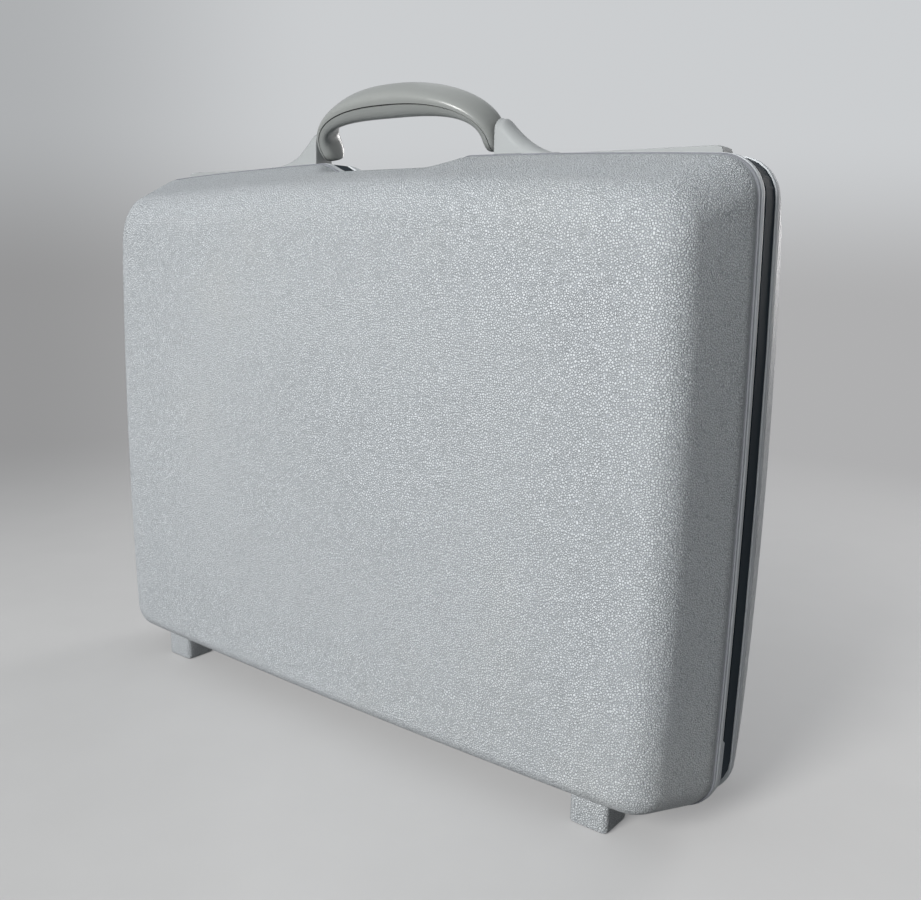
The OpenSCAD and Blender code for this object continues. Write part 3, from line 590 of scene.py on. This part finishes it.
def foot_top(x, y):
    """Height of the shell's underside over a foot."""
    depth = EDGE_Y - y
    if depth < ARC_D + EDGE_DEPTH * math.sin(ARC_START):
        inset = side_inset(depth)
    else:
        inset = ARC_IN - EDGE_WIDTH * math.sqrt(max(1 - ((depth - ARC_D) / EDGE_DEPTH) ** 2, 0))
    return shell_outline(inset, 0).low_z(x)


def foot(verts, faces, side_x):
    """A moulded foot with rounded corners, a softened sole edge and a fillet into the shell."""
    cx, cy = side_x * FOOT_X, SHELL_FRONT + FOOT_SETBACK + FOOT_DEPTH / 2
    loop = []
    for quarter, (sx, sy) in enumerate(((1, 1), (-1, 1), (-1, -1), (1, -1))):
        for i in range(FOOT_CORNER_STEPS + 1):
            a = math.pi / 2 * (quarter + i / FOOT_CORNER_STEPS)
            loop.append((sx * (FOOT_LENGTH / 2 - FOOT_CORNER) + FOOT_CORNER * math.cos(a),
                         sy * (FOOT_DEPTH / 2 - FOOT_CORNER) + FOOT_CORNER * math.sin(a)))
    # Each row: whether its height counts down from the shell, that height, and how far it stands out
    rows = [(False, 0.0, -SOLE_EASE), (False, SOLE_MID_UP, -SOLE_MID_IN), (False, SOLE_EASE, 0.0)]
    for share in spaced(0, 1, FILLET_STEPS):
        rows.append((True, FOOT_FILLET * (1 - share), FOOT_FILLET * (1 - math.sqrt(1 - share ** 2))))
    rows.append((True, -FOOT_ROOT, FOOT_FILLET))
    rings = []
    for from_shell, height, grow in rows:
        points = []
        for x, y in loop:
            length = math.hypot(x, y)
            px, py = cx + x * (1 + grow / length), cy + y * (1 + grow / length)
            points.append(Vector((px, py, foot_top(px, py) - height if from_shell else height)))
        rings.append(points)
    base = bridge(verts, faces, rings)
    cap(verts, faces, base, len(loop), Vector((cx, cy, 0)), True)


def shell(name, body, node, side):
    verts, faces = wall(0, SHELL_WALL, 0, DOME)
    for sx in (-1, 1):
        foot(verts, faces, sx)
    return mesh_object(name, verts, faces, shell_mat, body, (node,), side, smooth_angle=60)


shell("lid_shell_skin", "lid", "lid_shell", 1)
shell("base_shell_skin", "base", "base_shell", -1)


# Closing rims. The profile's points are (inset, distance from the shell's edge), in millimetres

BEAD = (1.1, 0.0), (0.62, 0.06), (0.36, 0.22), (0.3, 0.5), (0.36, 0.85), (0.7, 1.02), (1.0, 1.2)
GROOVE = (1.05, 1.4), (1.0, 1.6), (0.6, 1.78), (0.2, 1.95)
BAND = (0.04, 2.2), (0.0, 2.6), (0.0, 4.8), (0.1, 5.2)
DEEP_GROOVE = (0.45, 5.4), (2.6, 5.45), (3.0, 5.6), (3.1, 6.0)
BAND_DROP, LIP_INNER_DROP, LIP_OUTER_DROP = 10 * MM, 12 * MM, 8 * MM  # how far the scoop goes down there
INNER_EASE, INNER_EASE_OUT, INNER_EASE_DOWN = 0.5 * MM, 0.1 * MM, 0.15 * MM


def rim_rings():
    """The outer profile, then the inner edge and the lip that reaches into the shell."""
    profile = BEAD + GROOVE + BAND + DEEP_GROOVE
    rings = [ring(rim_outline(inset * MM), EDGE_Y + y * MM) for inset, y in profile]
    inner_rows = ((RIM_WIDTH - INNER_EASE, BAND_DROP - INNER_EASE, RIM_BAND),
                  (RIM_WIDTH - INNER_EASE_OUT, BAND_DROP, RIM_BAND - INNER_EASE_DOWN),
                  (RIM_WIDTH, BAND_DROP, RIM_BAND - INNER_EASE),
                  (RIM_WIDTH, LIP_INNER_DROP, 0),
                  (RIM_WIDTH, LIP_INNER_DROP, -LIP_DEPTH),
                  (LIP_IN, LIP_OUTER_DROP, -LIP_DEPTH),
                  (LIP_IN, LIP_OUTER_DROP, 0))
    return rings + [ring(shell_outline(inset, drop), EDGE_Y + y) for inset, drop, y in inner_rows]


def rim(name, body, node, side):
    verts, faces = tube(rim_rings(), closed=True)
    return mesh_object(name, verts, faces, edge_mat, body, (node,), side)


def carve(obj, cutters):
    """Cuts the cutters' shapes out of obj and keeps the result as its mesh."""
    for tool in cutters:
        cut = obj.modifiers.new("cut", "BOOLEAN")
        cut.object, cut.operation, cut.solver = tool, "DIFFERENCE", "EXACT"
    graph = bpy.context.evaluated_depsgraph_get()
    mesh = bpy.data.meshes.new_from_object(obj.evaluated_get(graph))
    obj.modifiers.clear()
    obj.data = mesh
    for tool in cutters:
        bpy.data.objects.remove(tool, do_unlink=True)
    smooth(obj, SMOOTH_ANGLE)


def cutter_object(bm):
    mesh = bpy.data.meshes.new("cutter")
    bm.to_mesh(mesh)
    bm.free()
    return link_object("cutter", mesh)


def box_cutter(lo, hi):
    """Box between two corners."""
    bm = bmesh.new()
    bmesh.ops.create_cube(bm, size=1)
    middle, size = (lo + hi) / 2, hi - lo
    for v in bm.verts:
        v.co = v.co * size + middle
    return cutter_object(bm)


def round_cutter(middle, length, radius):
    """Cylinder along X."""
    bm = bmesh.new()
    turn = Matrix.Rotation(math.pi / 2, 4, "Y")
    bmesh.ops.create_cone(bm, cap_ends=True, segments=BARREL_SIDES, radius1=radius, radius2=radius,
                          depth=length, matrix=Matrix.Translation(middle) @ turn)
    return cutter_object(bm)


HINGE_X, HINGE_LENGTH, BARREL_R, BARREL_AIR, BARREL_SIDES = 120 * MM, 70 * MM, 2.4 * MM, 0.3 * MM, 32
KEEPER_AIR, KEEPER_FRONT, KEEPER_BACK = 0.05 * MM, 3.5 * MM, 1 * MM

lid_rim = rim("lid_rim_skin", "lid", "lid_rim", 1)
rim("base_rim_skin", "base", "base_rim", -1)
hinge_lo, hinge_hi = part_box("hinge_pins")
hinge = (hinge_lo + hinge_hi) / 2
lid_cuts = []
for hand, sx in SIDES:
    lid_cuts.append(round_cutter((sx * HINGE_X, hinge.y, hinge.z), HINGE_LENGTH, BARREL_R + BARREL_AIR))
    keeper_lo, keeper_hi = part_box("keeper_" + hand)
    lid_cuts.append(box_cutter(keeper_lo - Vector((KEEPER_AIR, KEEPER_AIR + KEEPER_FRONT, KEEPER_AIR)),
                               keeper_hi + Vector((KEEPER_AIR, KEEPER_AIR + KEEPER_BACK, KEEPER_AIR))))
carve(lid_rim, lid_cuts)

STRIP_OUT, STRIP_IN, STRIP_TILT = 0.1 * MM, 2.8 * MM, 0.05 * MM


def corner_strip(hand, sx):
    """Light strip in the gap behind the lid's rim, round a lower corner, with pointed ends."""
    lo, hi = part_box("corner_strip_" + hand)
    start, end = min(abs(lo.x), abs(hi.x)), hi.z
    outer, inner = rim_outline(STRIP_OUT), rim_outline(STRIP_IN)
    pairs = zip(outer.half_points(), inner.half_points())
    pairs = [(out, back) for out, back in pairs if out[0] > start and out[1] < end]
    first, last = (start, inner.low_z(start)), (inner.side_x(end), end)
    rings = []
    for (xo, zo), (xi, zi) in [(first, first)] + pairs + [(last, last)]:
        rings.append([Vector((sx * xo, lo.y, zo)), Vector((sx * xo, hi.y, zo)),
                      Vector((sx * xi, hi.y, zi + STRIP_TILT)), Vector((sx * xi, lo.y, zi + STRIP_TILT))])
    verts, faces = tube(rings)
    return mesh_object("corner_strip_skin_" + hand, verts, faces, edge_mat, "lid",
                       ("corner_strip_" + hand,))


for hand, sx in SIDES:
    corner_strip(hand, sx)


# Dark frame between the rims, with its seal

SEAL_OUT, SEAL_WIDTH = RIM_WIDTH - 2.6 * MM, 2.2 * MM
SEAL_DROP, SEAL_FALL = 8 * MM, 4 * MM
SEAL_CREST = (0, 0.0), (0, 0.55), (0.25, 0.95), (0.5, 1.0), (0.75, 0.95), (1, 0.55), (1, 0.0)


def seal():
    """Rubber seal with a rounded crest, whose points are shares of its width and height."""
    lo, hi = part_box("seal_strip")
    rings = [ring(shell_outline(SEAL_OUT + across * SEAL_WIDTH, SEAL_DROP + SEAL_FALL * across),
                  hi.y + (lo.y - hi.y) * up) for across, up in SEAL_CREST]
    verts, faces = tube(rings, closed=True)
    return mesh_object("seal_skin", verts, faces, seal_mat, "base", ("seal_strip",))


dress("base_frame", frame_mat, bevel_width=0.4 * MM)
seal()


# Handle: two covers on a dark core

HANDLE_LEAN = math.radians(34)
pin_lo, pin_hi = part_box("handle_pins")
PIVOT = Vector((0, (pin_lo.y + pin_hi.y) / 2, (pin_lo.z + pin_hi.z) / 2))
LEG_OUT, LEG_THICK, LEG_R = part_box("handle_upper_cover")[1].x, 9.9 * MM, 8.5 * MM
LEG_IN = LEG_OUT - LEG_THICK
CROWN_OUT, GRIP_HEIGHT, GRIP_WIDTH = 34.33 * MM, 17.6 * MM, 18.6 * MM
CROWN_IN = CROWN_OUT - GRIP_HEIGHT
SEAM, SEAM_HALF, SEAM_RECESS, THINNEST_CORE = 0.62, 0.028, 0.6 * MM, 0.2 * MM
CROWN_STATIONS, LEG_STATIONS, ROUND = 64, 12, 20
LEG_SWEEP, CROWN_CROWDING = math.radians(88), 0.16
OUTER_POWER, INNER_POWER, COVER_POWER = 2.125, 3.1, 3
LEG_SWELL, GRIP_SWELL, COVER_SWELL, TINY = 0.7, 0.8, 0.75, 1e-9


def power_curve(value, n):
    """Rounds a sine or cosine towards a box as n grows past 2."""
    return math.copysign(abs(value) ** (2 / n), value) if abs(value) > TINY else 0.0


def handle_stations():
    """Each is (outer x, outer height, inner x, inner height, half width), in the handle's upright frame."""
    left = []
    for i in range(LEG_STATIONS):
        a = LEG_SWEEP * (1 - i / LEG_STATIONS)
        depth = -LEG_R * math.sin(a)
        left.append((-LEG_OUT, depth, -LEG_IN, depth, LEG_R * math.cos(a) ** LEG_SWELL))
    crown = []
    for turn in spaced(math.pi, 0, CROWN_STATIONS):
        crowded = turn - CROWN_CROWDING * math.sin(2 * turn)
        c, s = math.cos(crowded), max(math.sin(crowded), 0)
        crown.append((LEG_OUT * power_curve(c, OUTER_POWER), CROWN_OUT * power_curve(s, OUTER_POWER),
                      LEG_IN * power_curve(c, INNER_POWER), CROWN_IN * power_curve(s, INNER_POWER),
                      LEG_R + (GRIP_WIDTH / 2 - LEG_R) * s ** GRIP_SWELL))
    right = [(-xo, zo, -xi, zi, half) for xo, zo, xi, zi, half in reversed(left)]
    return left + crown + right


def handle_point(station, v, y):
    """A point of a station's section: v runs from its inner to its outer edge, y across the grip."""
    xo, zo, xi, zi, _ = station
    return Vector((xi + (xo - xi) * v, y, zi + (zo - zi) * v))


def lean(points):
    """Turns points of the upright frame to the handle's place at rest."""
    turn = Matrix.Rotation(HANDLE_LEAN, 3, "X")
    return [PIVOT + turn @ p for p in points]


def handle_half(name, node, start, span, up):
    """A cover from the seam outwards (up 1) or inwards (up -1)."""
    rings = []
    for station in handle_stations():
        points = []
        for i in range(ROUND + 1):
            a = math.pi * i / ROUND
            v = start + span * max(math.sin(a), 0) ** COVER_SWELL
            points.append(handle_point(station, v, station[4] * power_curve(math.cos(a) * up, COVER_POWER)))
        rings.append(lean(points))
    verts, faces = tube(rings)
    return mesh_object(name, verts, faces, handle_mat, "handle", (node,), smooth_angle=50)


def handle_core():
    """The dark strip that shows as the seam between the covers."""
    low, high = SEAM - SEAM_HALF, SEAM + SEAM_HALF
    rings = []
    for station in handle_stations():
        w = max(station[4] - SEAM_RECESS, THINNEST_CORE)
        corners = (low, -w), (low, w), (high, w), (high, -w)
        rings.append(lean([handle_point(station, v, y) for v, y in corners]))
    verts, faces = tube(rings)
    return mesh_object("handle_core_skin", verts, faces, core_mat, "handle", ("handle_core",))


handle_half("handle_upper_skin", "handle_upper_cover", SEAM + SEAM_HALF, 1 - SEAM - SEAM_HALF, 1)
handle_half("handle_lower_skin", "handle_lower_cover", SEAM - SEAM_HALF, SEAM_HALF - SEAM, -1)
handle_core()


# Pedestals

PED_CROWN, PED_FLARE, PED_RISE, PED_EASE = 5 * MM, 37 * MM, 20.6 * MM, 0.8 * MM
PED_TOE, PED_FALL, PED_BLEND, FLARE_POWER = 0.9 * MM, 0.15 * MM, 2.2 * MM, 1.95
PED_SINK, PED_AIR = 1 * MM, 0.4 * MM
PED_EASE_STEPS, PED_STEPS, ARCH_STEPS = 5, 48, 28
FRAME_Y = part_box("base_frame")[0].y


def over_rim(x):
    """Height of the pedestals' underside over the lid's rim."""
    return TOP_Z - TOP_BOW * (x / HALF_X) ** 2 + PED_AIR


def pedestal_stations(width):
    """Each is (place along the case, height, half width), from the handle's side outwards."""
    stations = []
    for a in spaced(0, math.pi / 2, PED_EASE_STEPS):
        cut = PED_EASE * (1 - math.sin(a))
        stations.append((PED_EASE * (1 - math.cos(a)), PED_RISE - cut, width - cut))
    for x in spaced(PED_EASE, PED_CROWN + PED_FLARE, PED_STEPS)[1:]:
        u = max(x - PED_CROWN, 0) / PED_FLARE
        flare = (PED_RISE - PED_TOE) * (1 - u) ** FLARE_POWER if u > 0 else PED_RISE
        crown = PED_RISE - PED_FALL * max(x - PED_EASE, 0) / PED_CROWN
        stations.append((x, smooth_min(flare, crown, PED_BLEND), width))
    return stations


def pedestal(hand, sx):
    """A round-backed ridge. Its part in front of the frame stands over the lid's rim."""
    lo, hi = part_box("pedestal_" + hand)
    inner = min(abs(lo.x), abs(hi.x))
    centre = (lo.y + hi.y) / 2
    rings = []
    for x, height, half in pedestal_stations((hi.y - lo.y) / 2):
        r = min(height, half)
        base = TOP_Z - PED_SINK + height - r
        arch = [(centre + half * math.cos(a), base + r * math.sin(a)) for a in spaced(0, math.pi, ARCH_STEPS)]
        foot_z = over_rim(inner + x)
        front = [(centre - half, foot_z), (FRAME_Y, foot_z), (FRAME_Y, lo.z), (centre + half, lo.z)]
        rings.append([Vector((sx * (inner + x), y, z)) for y, z in arch + front])
    verts, faces = tube(rings)
    return mesh_object("pedestal_skin_" + hand, verts, faces, rim_mat, "base", ("pedestal_" + hand,),
                       smooth_angle=50)


for hand, sx in SIDES:
    pedestal(hand, sx)


# CAD nodes that keep their shape

for hand, _ in SIDES:
    dress("latch_housing_" + hand, rim_mat, bevel_width=0.5 * MM)
    dress("latch_button_" + hand, button_mat, bevel_width=0.15 * MM)
    dress("latch_bolt_" + hand, steel_mat, bevel_width=0.2 * MM)
    dress("keeper_" + hand, steel_mat, bevel_width=0.15 * MM)
    dress("stay_arm_" + hand, steel_mat, bevel_width=0.2 * MM)
    dress("stay_link_" + hand, steel_mat, bevel_width=0.2 * MM)
for name in ("hinge_leaves_base", "hinge_leaves_lid"):
    dress(name, steel_mat, bevel_width=0.1 * MM)
for name in ("handle_pins", "hinge_pins", "hinge_rivets_base", "hinge_rivets_lid", "stay_rivets_base",
             "stay_rivets_lid", "keeper_screws"):
    dress(name, rivet_mat)


# Inside: linings and the lid's pockets

LINING_START = LIP_DEPTH + 1 * MM


def lining(name, body, node, side):
    """Cloth tray inside a shell, from just behind the rim's lip."""
    verts, faces = wall(SHELL_WALL + LINING_GAP, LINING_WALL, LINING_START, 0)
    return mesh_object(name, verts, faces, lining_mat, body, (node,), side, smooth_angle=60)


lining("lid_lining_skin", "lid", "lid_lining", 1)
lining("base_lining_skin", "base", "base_lining", -1)


def panel(verts, faces, lo, hi, edge_radius, cols, rows):
    """A cloth-covered board between two corners of a box, with round edges towards +Y."""
    front, back = [], []
    for z in spaced(lo[2], hi[2], rows):
        for x in spaced(lo[0], hi[0], cols):
            to_edge = min(x - lo[0], hi[0] - x, z - lo[2], hi[2] - z, edge_radius)
            near = max(to_edge, 0) / edge_radius
            ease = edge_radius * (1 - math.sqrt(max(1 - (1 - near) ** 2, 0)))
            front.append(Vector((x, hi[1] - ease, z)))
            back.append(Vector((x, lo[1], z)))
    base = len(verts)
    verts += front + back
    n, w = len(front), cols + 1
    for r in range(rows):
        for c in range(cols):
            a = base + r * w + c
            faces.append((a, a + 1, a + w + 1, a + w))
            faces.append((a + n, a + n + w, a + n + w + 1, a + n + 1))
    edge = [base + c for c in range(w)]
    edge += [base + r * w + cols for r in range(1, rows + 1)]
    edge += [base + rows * w + c for c in range(cols - 1, -1, -1)]
    edge += [base + r * w for r in range(rows - 1, 0, -1)]
    for i, a in enumerate(edge):
        b = edge[(i + 1) % len(edge)]
        faces.append((b, a, a + n, b + n))


STITCH, STITCH_GAP, THREAD_R, THREAD_SIDES = 2.6 * MM, 1.4 * MM, 0.22 * MM, 6
STITCH_SHAPE = (0.0, 0.3), (0.15, 1.0), (0.85, 1.0), (1.0, 0.3)  # share of its length, share of its radius


def stitches(verts, faces, path, y):
    """Rows of thread stitches along a path of (x, z) points, each narrowing where it enters the cloth."""
    for (x0, z0), (x1, z1) in zip(path, path[1:]):
        run = Vector((x1 - x0, 0, z1 - z0))
        along = run.normalized()
        across = Vector((-along.z, 0, along.x))
        for k in range(int(run.length // (STITCH + STITCH_GAP))):
            start = Vector((x0, y, z0)) + along * (k * (STITCH + STITCH_GAP) + STITCH_GAP / 2)
            rings = []
            for place, width in STITCH_SHAPE:
                middle, r = start + along * (STITCH * place), THREAD_R * width
                turns = (2 * math.pi * i / THREAD_SIDES for i in range(THREAD_SIDES))
                rings.append([middle + across * (r * math.cos(a)) + Vector((0, r * math.sin(a), 0))
                              for a in turns])
            base = bridge(verts, faces, rings)
            last = base + (len(rings) - 1) * THREAD_SIDES
            faces.append(tuple(base + i for i in range(THREAD_SIDES)))
            faces.append(tuple(last + i for i in reversed(range(THREAD_SIDES))))


def seam_path(lo, hi, inset):
    """Down one side of a pocket, along its bottom and up the other side."""
    left, right, low, high = lo.x + inset, hi.x - inset, lo.z + inset, hi.z - inset
    return [(left, high), (left, low), (right, low), (right, high)]


BOARD, POCKET_WALL, POCKET_SEAM = 2 * MM, 1.5 * MM, 4 * MM
CARD_BACK, CARD_FRONT, CARD_SIDE, CARD_BOTTOM, CARD_SEAM = 0.8 * MM, 1 * MM, 1.5 * MM, 2 * MM, 2.2 * MM
LOOPS, LOOP_STEPS, LOOP_BAND, LOOP_POWER, SAME_PLACE = 3, 16, 0.6 * MM, 0.45, 1e-7
LOOP_EDGE, LOOP_END, LOOP_THREAD = 1 * MM, 0.5 * MM, 0.9 * MM
SEAM_SINK, CARD_SEAM_SINK = 0.05 * MM, 0.1 * MM


def document_pocket():
    """Stiff front board, bottom and sides, open at its top."""
    lo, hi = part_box("document_pocket")
    verts, faces = [], []
    board_y = hi.y - BOARD
    panel(verts, faces, (lo.x, board_y, lo.z), hi, edge_radius=1.0 * MM, cols=60, rows=30)
    panel(verts, faces, lo, (hi.x, board_y, lo.z + POCKET_WALL), edge_radius=0.3 * MM, cols=40, rows=4)
    for x in (lo.x, hi.x - POCKET_WALL):
        panel(verts, faces, (x, lo.y, lo.z), (x + POCKET_WALL, board_y, hi.z), edge_radius=0.3 * MM,
              cols=4, rows=30)
    mesh_object("document_pocket_skin", verts, faces, pocket_mat, "lid", ("document_pocket",),
                smooth_angle=60)


def pocket_stitches():
    """Seams round the document pocket's board, round the card pocket and between the pen loops."""
    verts, faces = [], []
    lo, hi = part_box("document_pocket")
    path = seam_path(lo, hi, POCKET_SEAM)
    stitches(verts, faces, path + path[:1], hi.y - SEAM_SINK)
    lo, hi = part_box("card_pocket")
    stitches(verts, faces, seam_path(lo, hi, CARD_SEAM), hi.y - CARD_SEAM_SINK)
    lo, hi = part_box("pen_loops")
    for x in spaced(lo.x, hi.x, LOOPS):
        x = min(max(x, lo.x + LOOP_EDGE), hi.x - LOOP_EDGE)
        stitches(verts, faces, [(x, lo.z + LOOP_END), (x, hi.z - LOOP_END)], lo.y + LOOP_THREAD)
    mesh_object("pocket_stitches", verts, faces, thread_mat, "lid", (), smooth_angle=ALL_SMOOTH)


def card_pocket():
    """Patch pocket, open at its top, with a raised edge."""
    lo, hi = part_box("card_pocket")
    verts, faces = [], []
    back_y, front_y = lo.y + CARD_BACK, hi.y - CARD_FRONT
    panel(verts, faces, lo, (hi.x, back_y, hi.z), edge_radius=0.2 * MM, cols=24, rows=12)
    panel(verts, faces, (lo.x, front_y, lo.z), hi, edge_radius=0.8 * MM, cols=40, rows=30)
    edges = (lo.x, lo.x + CARD_SIDE, hi.z), (hi.x - CARD_SIDE, hi.x, hi.z), (lo.x, hi.x, lo.z + CARD_BOTTOM)
    for x0, x1, z1 in edges:
        panel(verts, faces, (x0, back_y, lo.z), (x1, front_y, z1), edge_radius=0.1 * MM, cols=6, rows=6)
    mesh_object("card_pocket_skin", verts, faces, pocket_mat, "lid", ("card_pocket",),
                smooth_angle=60)


def pen_loops():
    """Elastic band sewn down between its loops."""
    lo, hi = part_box("pen_loops")
    width, low, rise = (hi.x - lo.x) / LOOPS, lo.y + LOOP_BAND, hi.y - lo.y - LOOP_BAND
    line = []
    for k in range(LOOPS):
        for t in spaced(0, 1, LOOP_STEPS):
            lift = math.sin(math.pi * t) ** LOOP_POWER if 0 < t < 1 else 0
            line.append((lo.x + width * (k + t), low + rise * lift))
    line = [p for i, p in enumerate(line) if i == 0 or abs(p[0] - line[i - 1][0]) > SAME_PLACE]
    verts, faces = tube([[Vector((x, y, lo.z)), Vector((x, y, hi.z)), Vector((x, y - LOOP_BAND, hi.z)),
                          Vector((x, y - LOOP_BAND, lo.z))] for x, y in line])
    mesh_object("pen_loops_skin", verts, faces, trim_mat, "lid", ("pen_loops",), smooth_angle=50)


document_pocket()
pocket_stitches()
card_pocket()
pen_loops()


# Camera, as solved from the photograph

PHOTO_WIDTH, SENSOR, FOCAL_PIXELS = 921, 36.0, 983.06
EYE = Vector((0.4069, -0.4666, 0.2955))
YAW, PITCH, ROLL = math.radians(-37.716), math.radians(11.155), math.radians(1.268)


def camera():
    data = bpy.data.cameras.new("photo_camera")
    data.sensor_fit = "HORIZONTAL"
    data.sensor_width = SENSOR
    data.lens = FOCAL_PIXELS / PHOTO_WIDTH * SENSOR
    obj = link_object("photo_camera", data)
    forward = Vector((math.sin(YAW) * math.cos(PITCH), math.cos(YAW) * math.cos(PITCH), -math.sin(PITCH)))
    level = Vector((math.cos(YAW), -math.sin(YAW), 0))
    above = level.cross(forward)
    right = level * math.cos(ROLL) + above * math.sin(ROLL)
    up = above * math.cos(ROLL) - level * math.sin(ROLL)
    place = Matrix((right, up, -forward)).transposed().to_4x4()
    place.translation = EYE
    obj.matrix_world = place
    bpy.context.scene.camera = obj


# Stage: a wall's colour that floor and world share, the floor, the world's light and the lamps

# Painted light on the wall: its low and high tones, where it fades between them, and how it dims towards the
# left
BACKDROP_HIGH, BACKDROP_LOW = (0.60, 0.615, 0.63), (0.43, 0.43, 0.435)
WALL_FADE, SIDE_FADE, DIM_SIDE = (-0.04, 0.12), (-0.42, -0.12), 0.70
FLOOR_GREY, FLOOR_BOUNCE = grey(0.70), grey(0.18)
FLOOR_HALF, FLOOR_DROP = 40.0, 0.2 * MM
VEIL_SPAN, VEIL_START = (0.35, 1.1), 0.45
SKY_TINT = (0.93, 0.97, 1.0)
SOFT_LIGHT_FROM = Vector((-0.40, -0.90, 0.25))
SOFT_LIGHT_SPAN, SOFT_LIGHT = (-0.3, 1.0), (0.06, 0.72)


def seen_directly(tree):
    """1 for camera, glossy and transmission rays, 0 for the rays that only carry light to the case."""
    path = tree.nodes.new("ShaderNodeLightPath").outputs
    mirrored = calculate(tree, "MAXIMUM", path["Is Glossy Ray"], path["Is Transmission Ray"])
    return calculate(tree, "MAXIMUM", path["Is Camera Ray"], mirrored)


def backdrop_colour(tree, direction):
    """The wall's colour in a direction from EYE, with painted light: lighter towards its top, dimmer towards
    the left.
    """
    height = add_node(tree, "SeparateXYZ", {"Vector": direction}).outputs["Z"]
    wall_painted_light = ramp(tree, step_between(tree, height, WALL_FADE), [(0.0, BACKDROP_LOW), (1.0, BACKDROP_HIGH)])
    aside = vector_math(tree, "DOT_PRODUCT", direction, (math.cos(YAW), -math.sin(YAW), 0))
    dim = step_between(tree, aside, SIDE_FADE, (DIM_SIDE, 1.0))
    return multiplied(tree, wall_painted_light, dim)


def mix_shaders(tree, factor, a, b, output):
    node = tree.nodes.new("ShaderNodeMixShader")
    for socket, value in zip(node.inputs, (factor, a, b)):
        feed(tree, socket, value)
    feed(tree, tree.nodes[output].inputs["Surface"], node.outputs["Shader"])


def floor_material():
    """Pale matt floor that throws less light back at the case than it shows.

    Seen directly, it passes into the backdrop's colour away from the case. That colour glows as painted light
    and already takes a share of the floor beside the case, which lightens the case's shadow there.
    """
    mat = plastic("floor_pale", FLOOR_GREY, roughness=0.7, vary=0.02, grain=0.02 * MM, grain_scale=400,
                  gloss=0.2)
    tree = mat.node_tree
    shader = tree.nodes["Principled BSDF"]
    place, direct, colour = object_place(tree), seen_directly(tree), shader.inputs["Base Color"]
    feed(tree, colour, mix(tree, "RGBA", direct, (*FLOOR_BOUNCE, 1), colour.links[0].from_socket))
    away = step_between(tree, vector_math(tree, "LENGTH", place), VEIL_SPAN, (VEIL_START, 1.0))
    direction = vector_math(tree, "NORMALIZE", vector_math(tree, "SUBTRACT", place, EYE))
    backdrop = add_node(tree, "Emission", {"Color": backdrop_colour(tree, direction)})
    # Painted light: the floor seen directly glows with the backdrop's colour, partly even beside the case
    painted_backdrop_glow = calculate(tree, "MULTIPLY", away, direct)
    mix_shaders(tree, painted_backdrop_glow, shader.outputs["BSDF"], backdrop.outputs["Emission"], "Material Output")
    return mat


def floor():
    mesh = bpy.data.meshes.new("floor")
    corners = ((-1, -1), (1, -1), (1, 1), (-1, 1))
    mesh.from_pydata([(x * FLOOR_HALF, y * FLOOR_HALF, -FLOOR_DROP) for x, y in corners], [], [(0, 1, 2, 3)])
    mesh.materials.append(floor_material())
    obj = link_object("floor", mesh)


def world():
    """Soft room light, stronger from the front and the left; the camera sees the backdrop with its painted
    light.
    """
    sky = bpy.data.worlds.new("studio")
    bpy.context.scene.world = sky
    sky.use_nodes = True
    tree = sky.node_tree
    direction = add_node(tree, "TexCoord", {}).outputs["Generated"]
    facing = vector_math(tree, "DOT_PRODUCT", direction, SOFT_LIGHT_FROM.normalized())
    light = tree.nodes["Background"]
    light.inputs["Color"].default_value = (*SKY_TINT, 1)
    feed(tree, light.inputs["Strength"], step_between(tree, facing, SOFT_LIGHT_SPAN, SOFT_LIGHT))
    seen = add_node(tree, "Background", {"Color": backdrop_colour(tree, direction)})
    soft, shown = light.outputs["Background"], seen.outputs["Background"]
    mix_shaders(tree, seen_directly(tree), soft, shown, "World Output")


def lamp(name, place, aim, size, watts, colour):
    data = bpy.data.lights.new(name, "AREA")
    data.shape = "DISK"
    data.size = size
    data.energy = watts
    data.color = colour
    obj = link_object(name, data)
    obj.location = place
    obj.rotation_euler = (Vector(aim) - Vector(place)).to_track_quat("-Z", "Y").to_euler()


floor()
world()
lamp("key", place=(0.03, -1.75, 0.80), aim=(0, 0, 0.18), size=0.7, watts=40, colour=(1.0, 0.99, 0.97))
lamp("fill", place=(-0.3, 1.1, 1.7), aim=(0, 0, 0.1), size=1.6, watts=4, colour=(0.95, 0.98, 1.0))
lamp("back", place=(0.28, 2.35, 0.6), aim=(0, 0.06, 0.18), size=0.9, watts=36, colour=(1.0, 0.98, 0.97))
camera()
bpy.context.scene.view_settings.view_transform = "Standard"
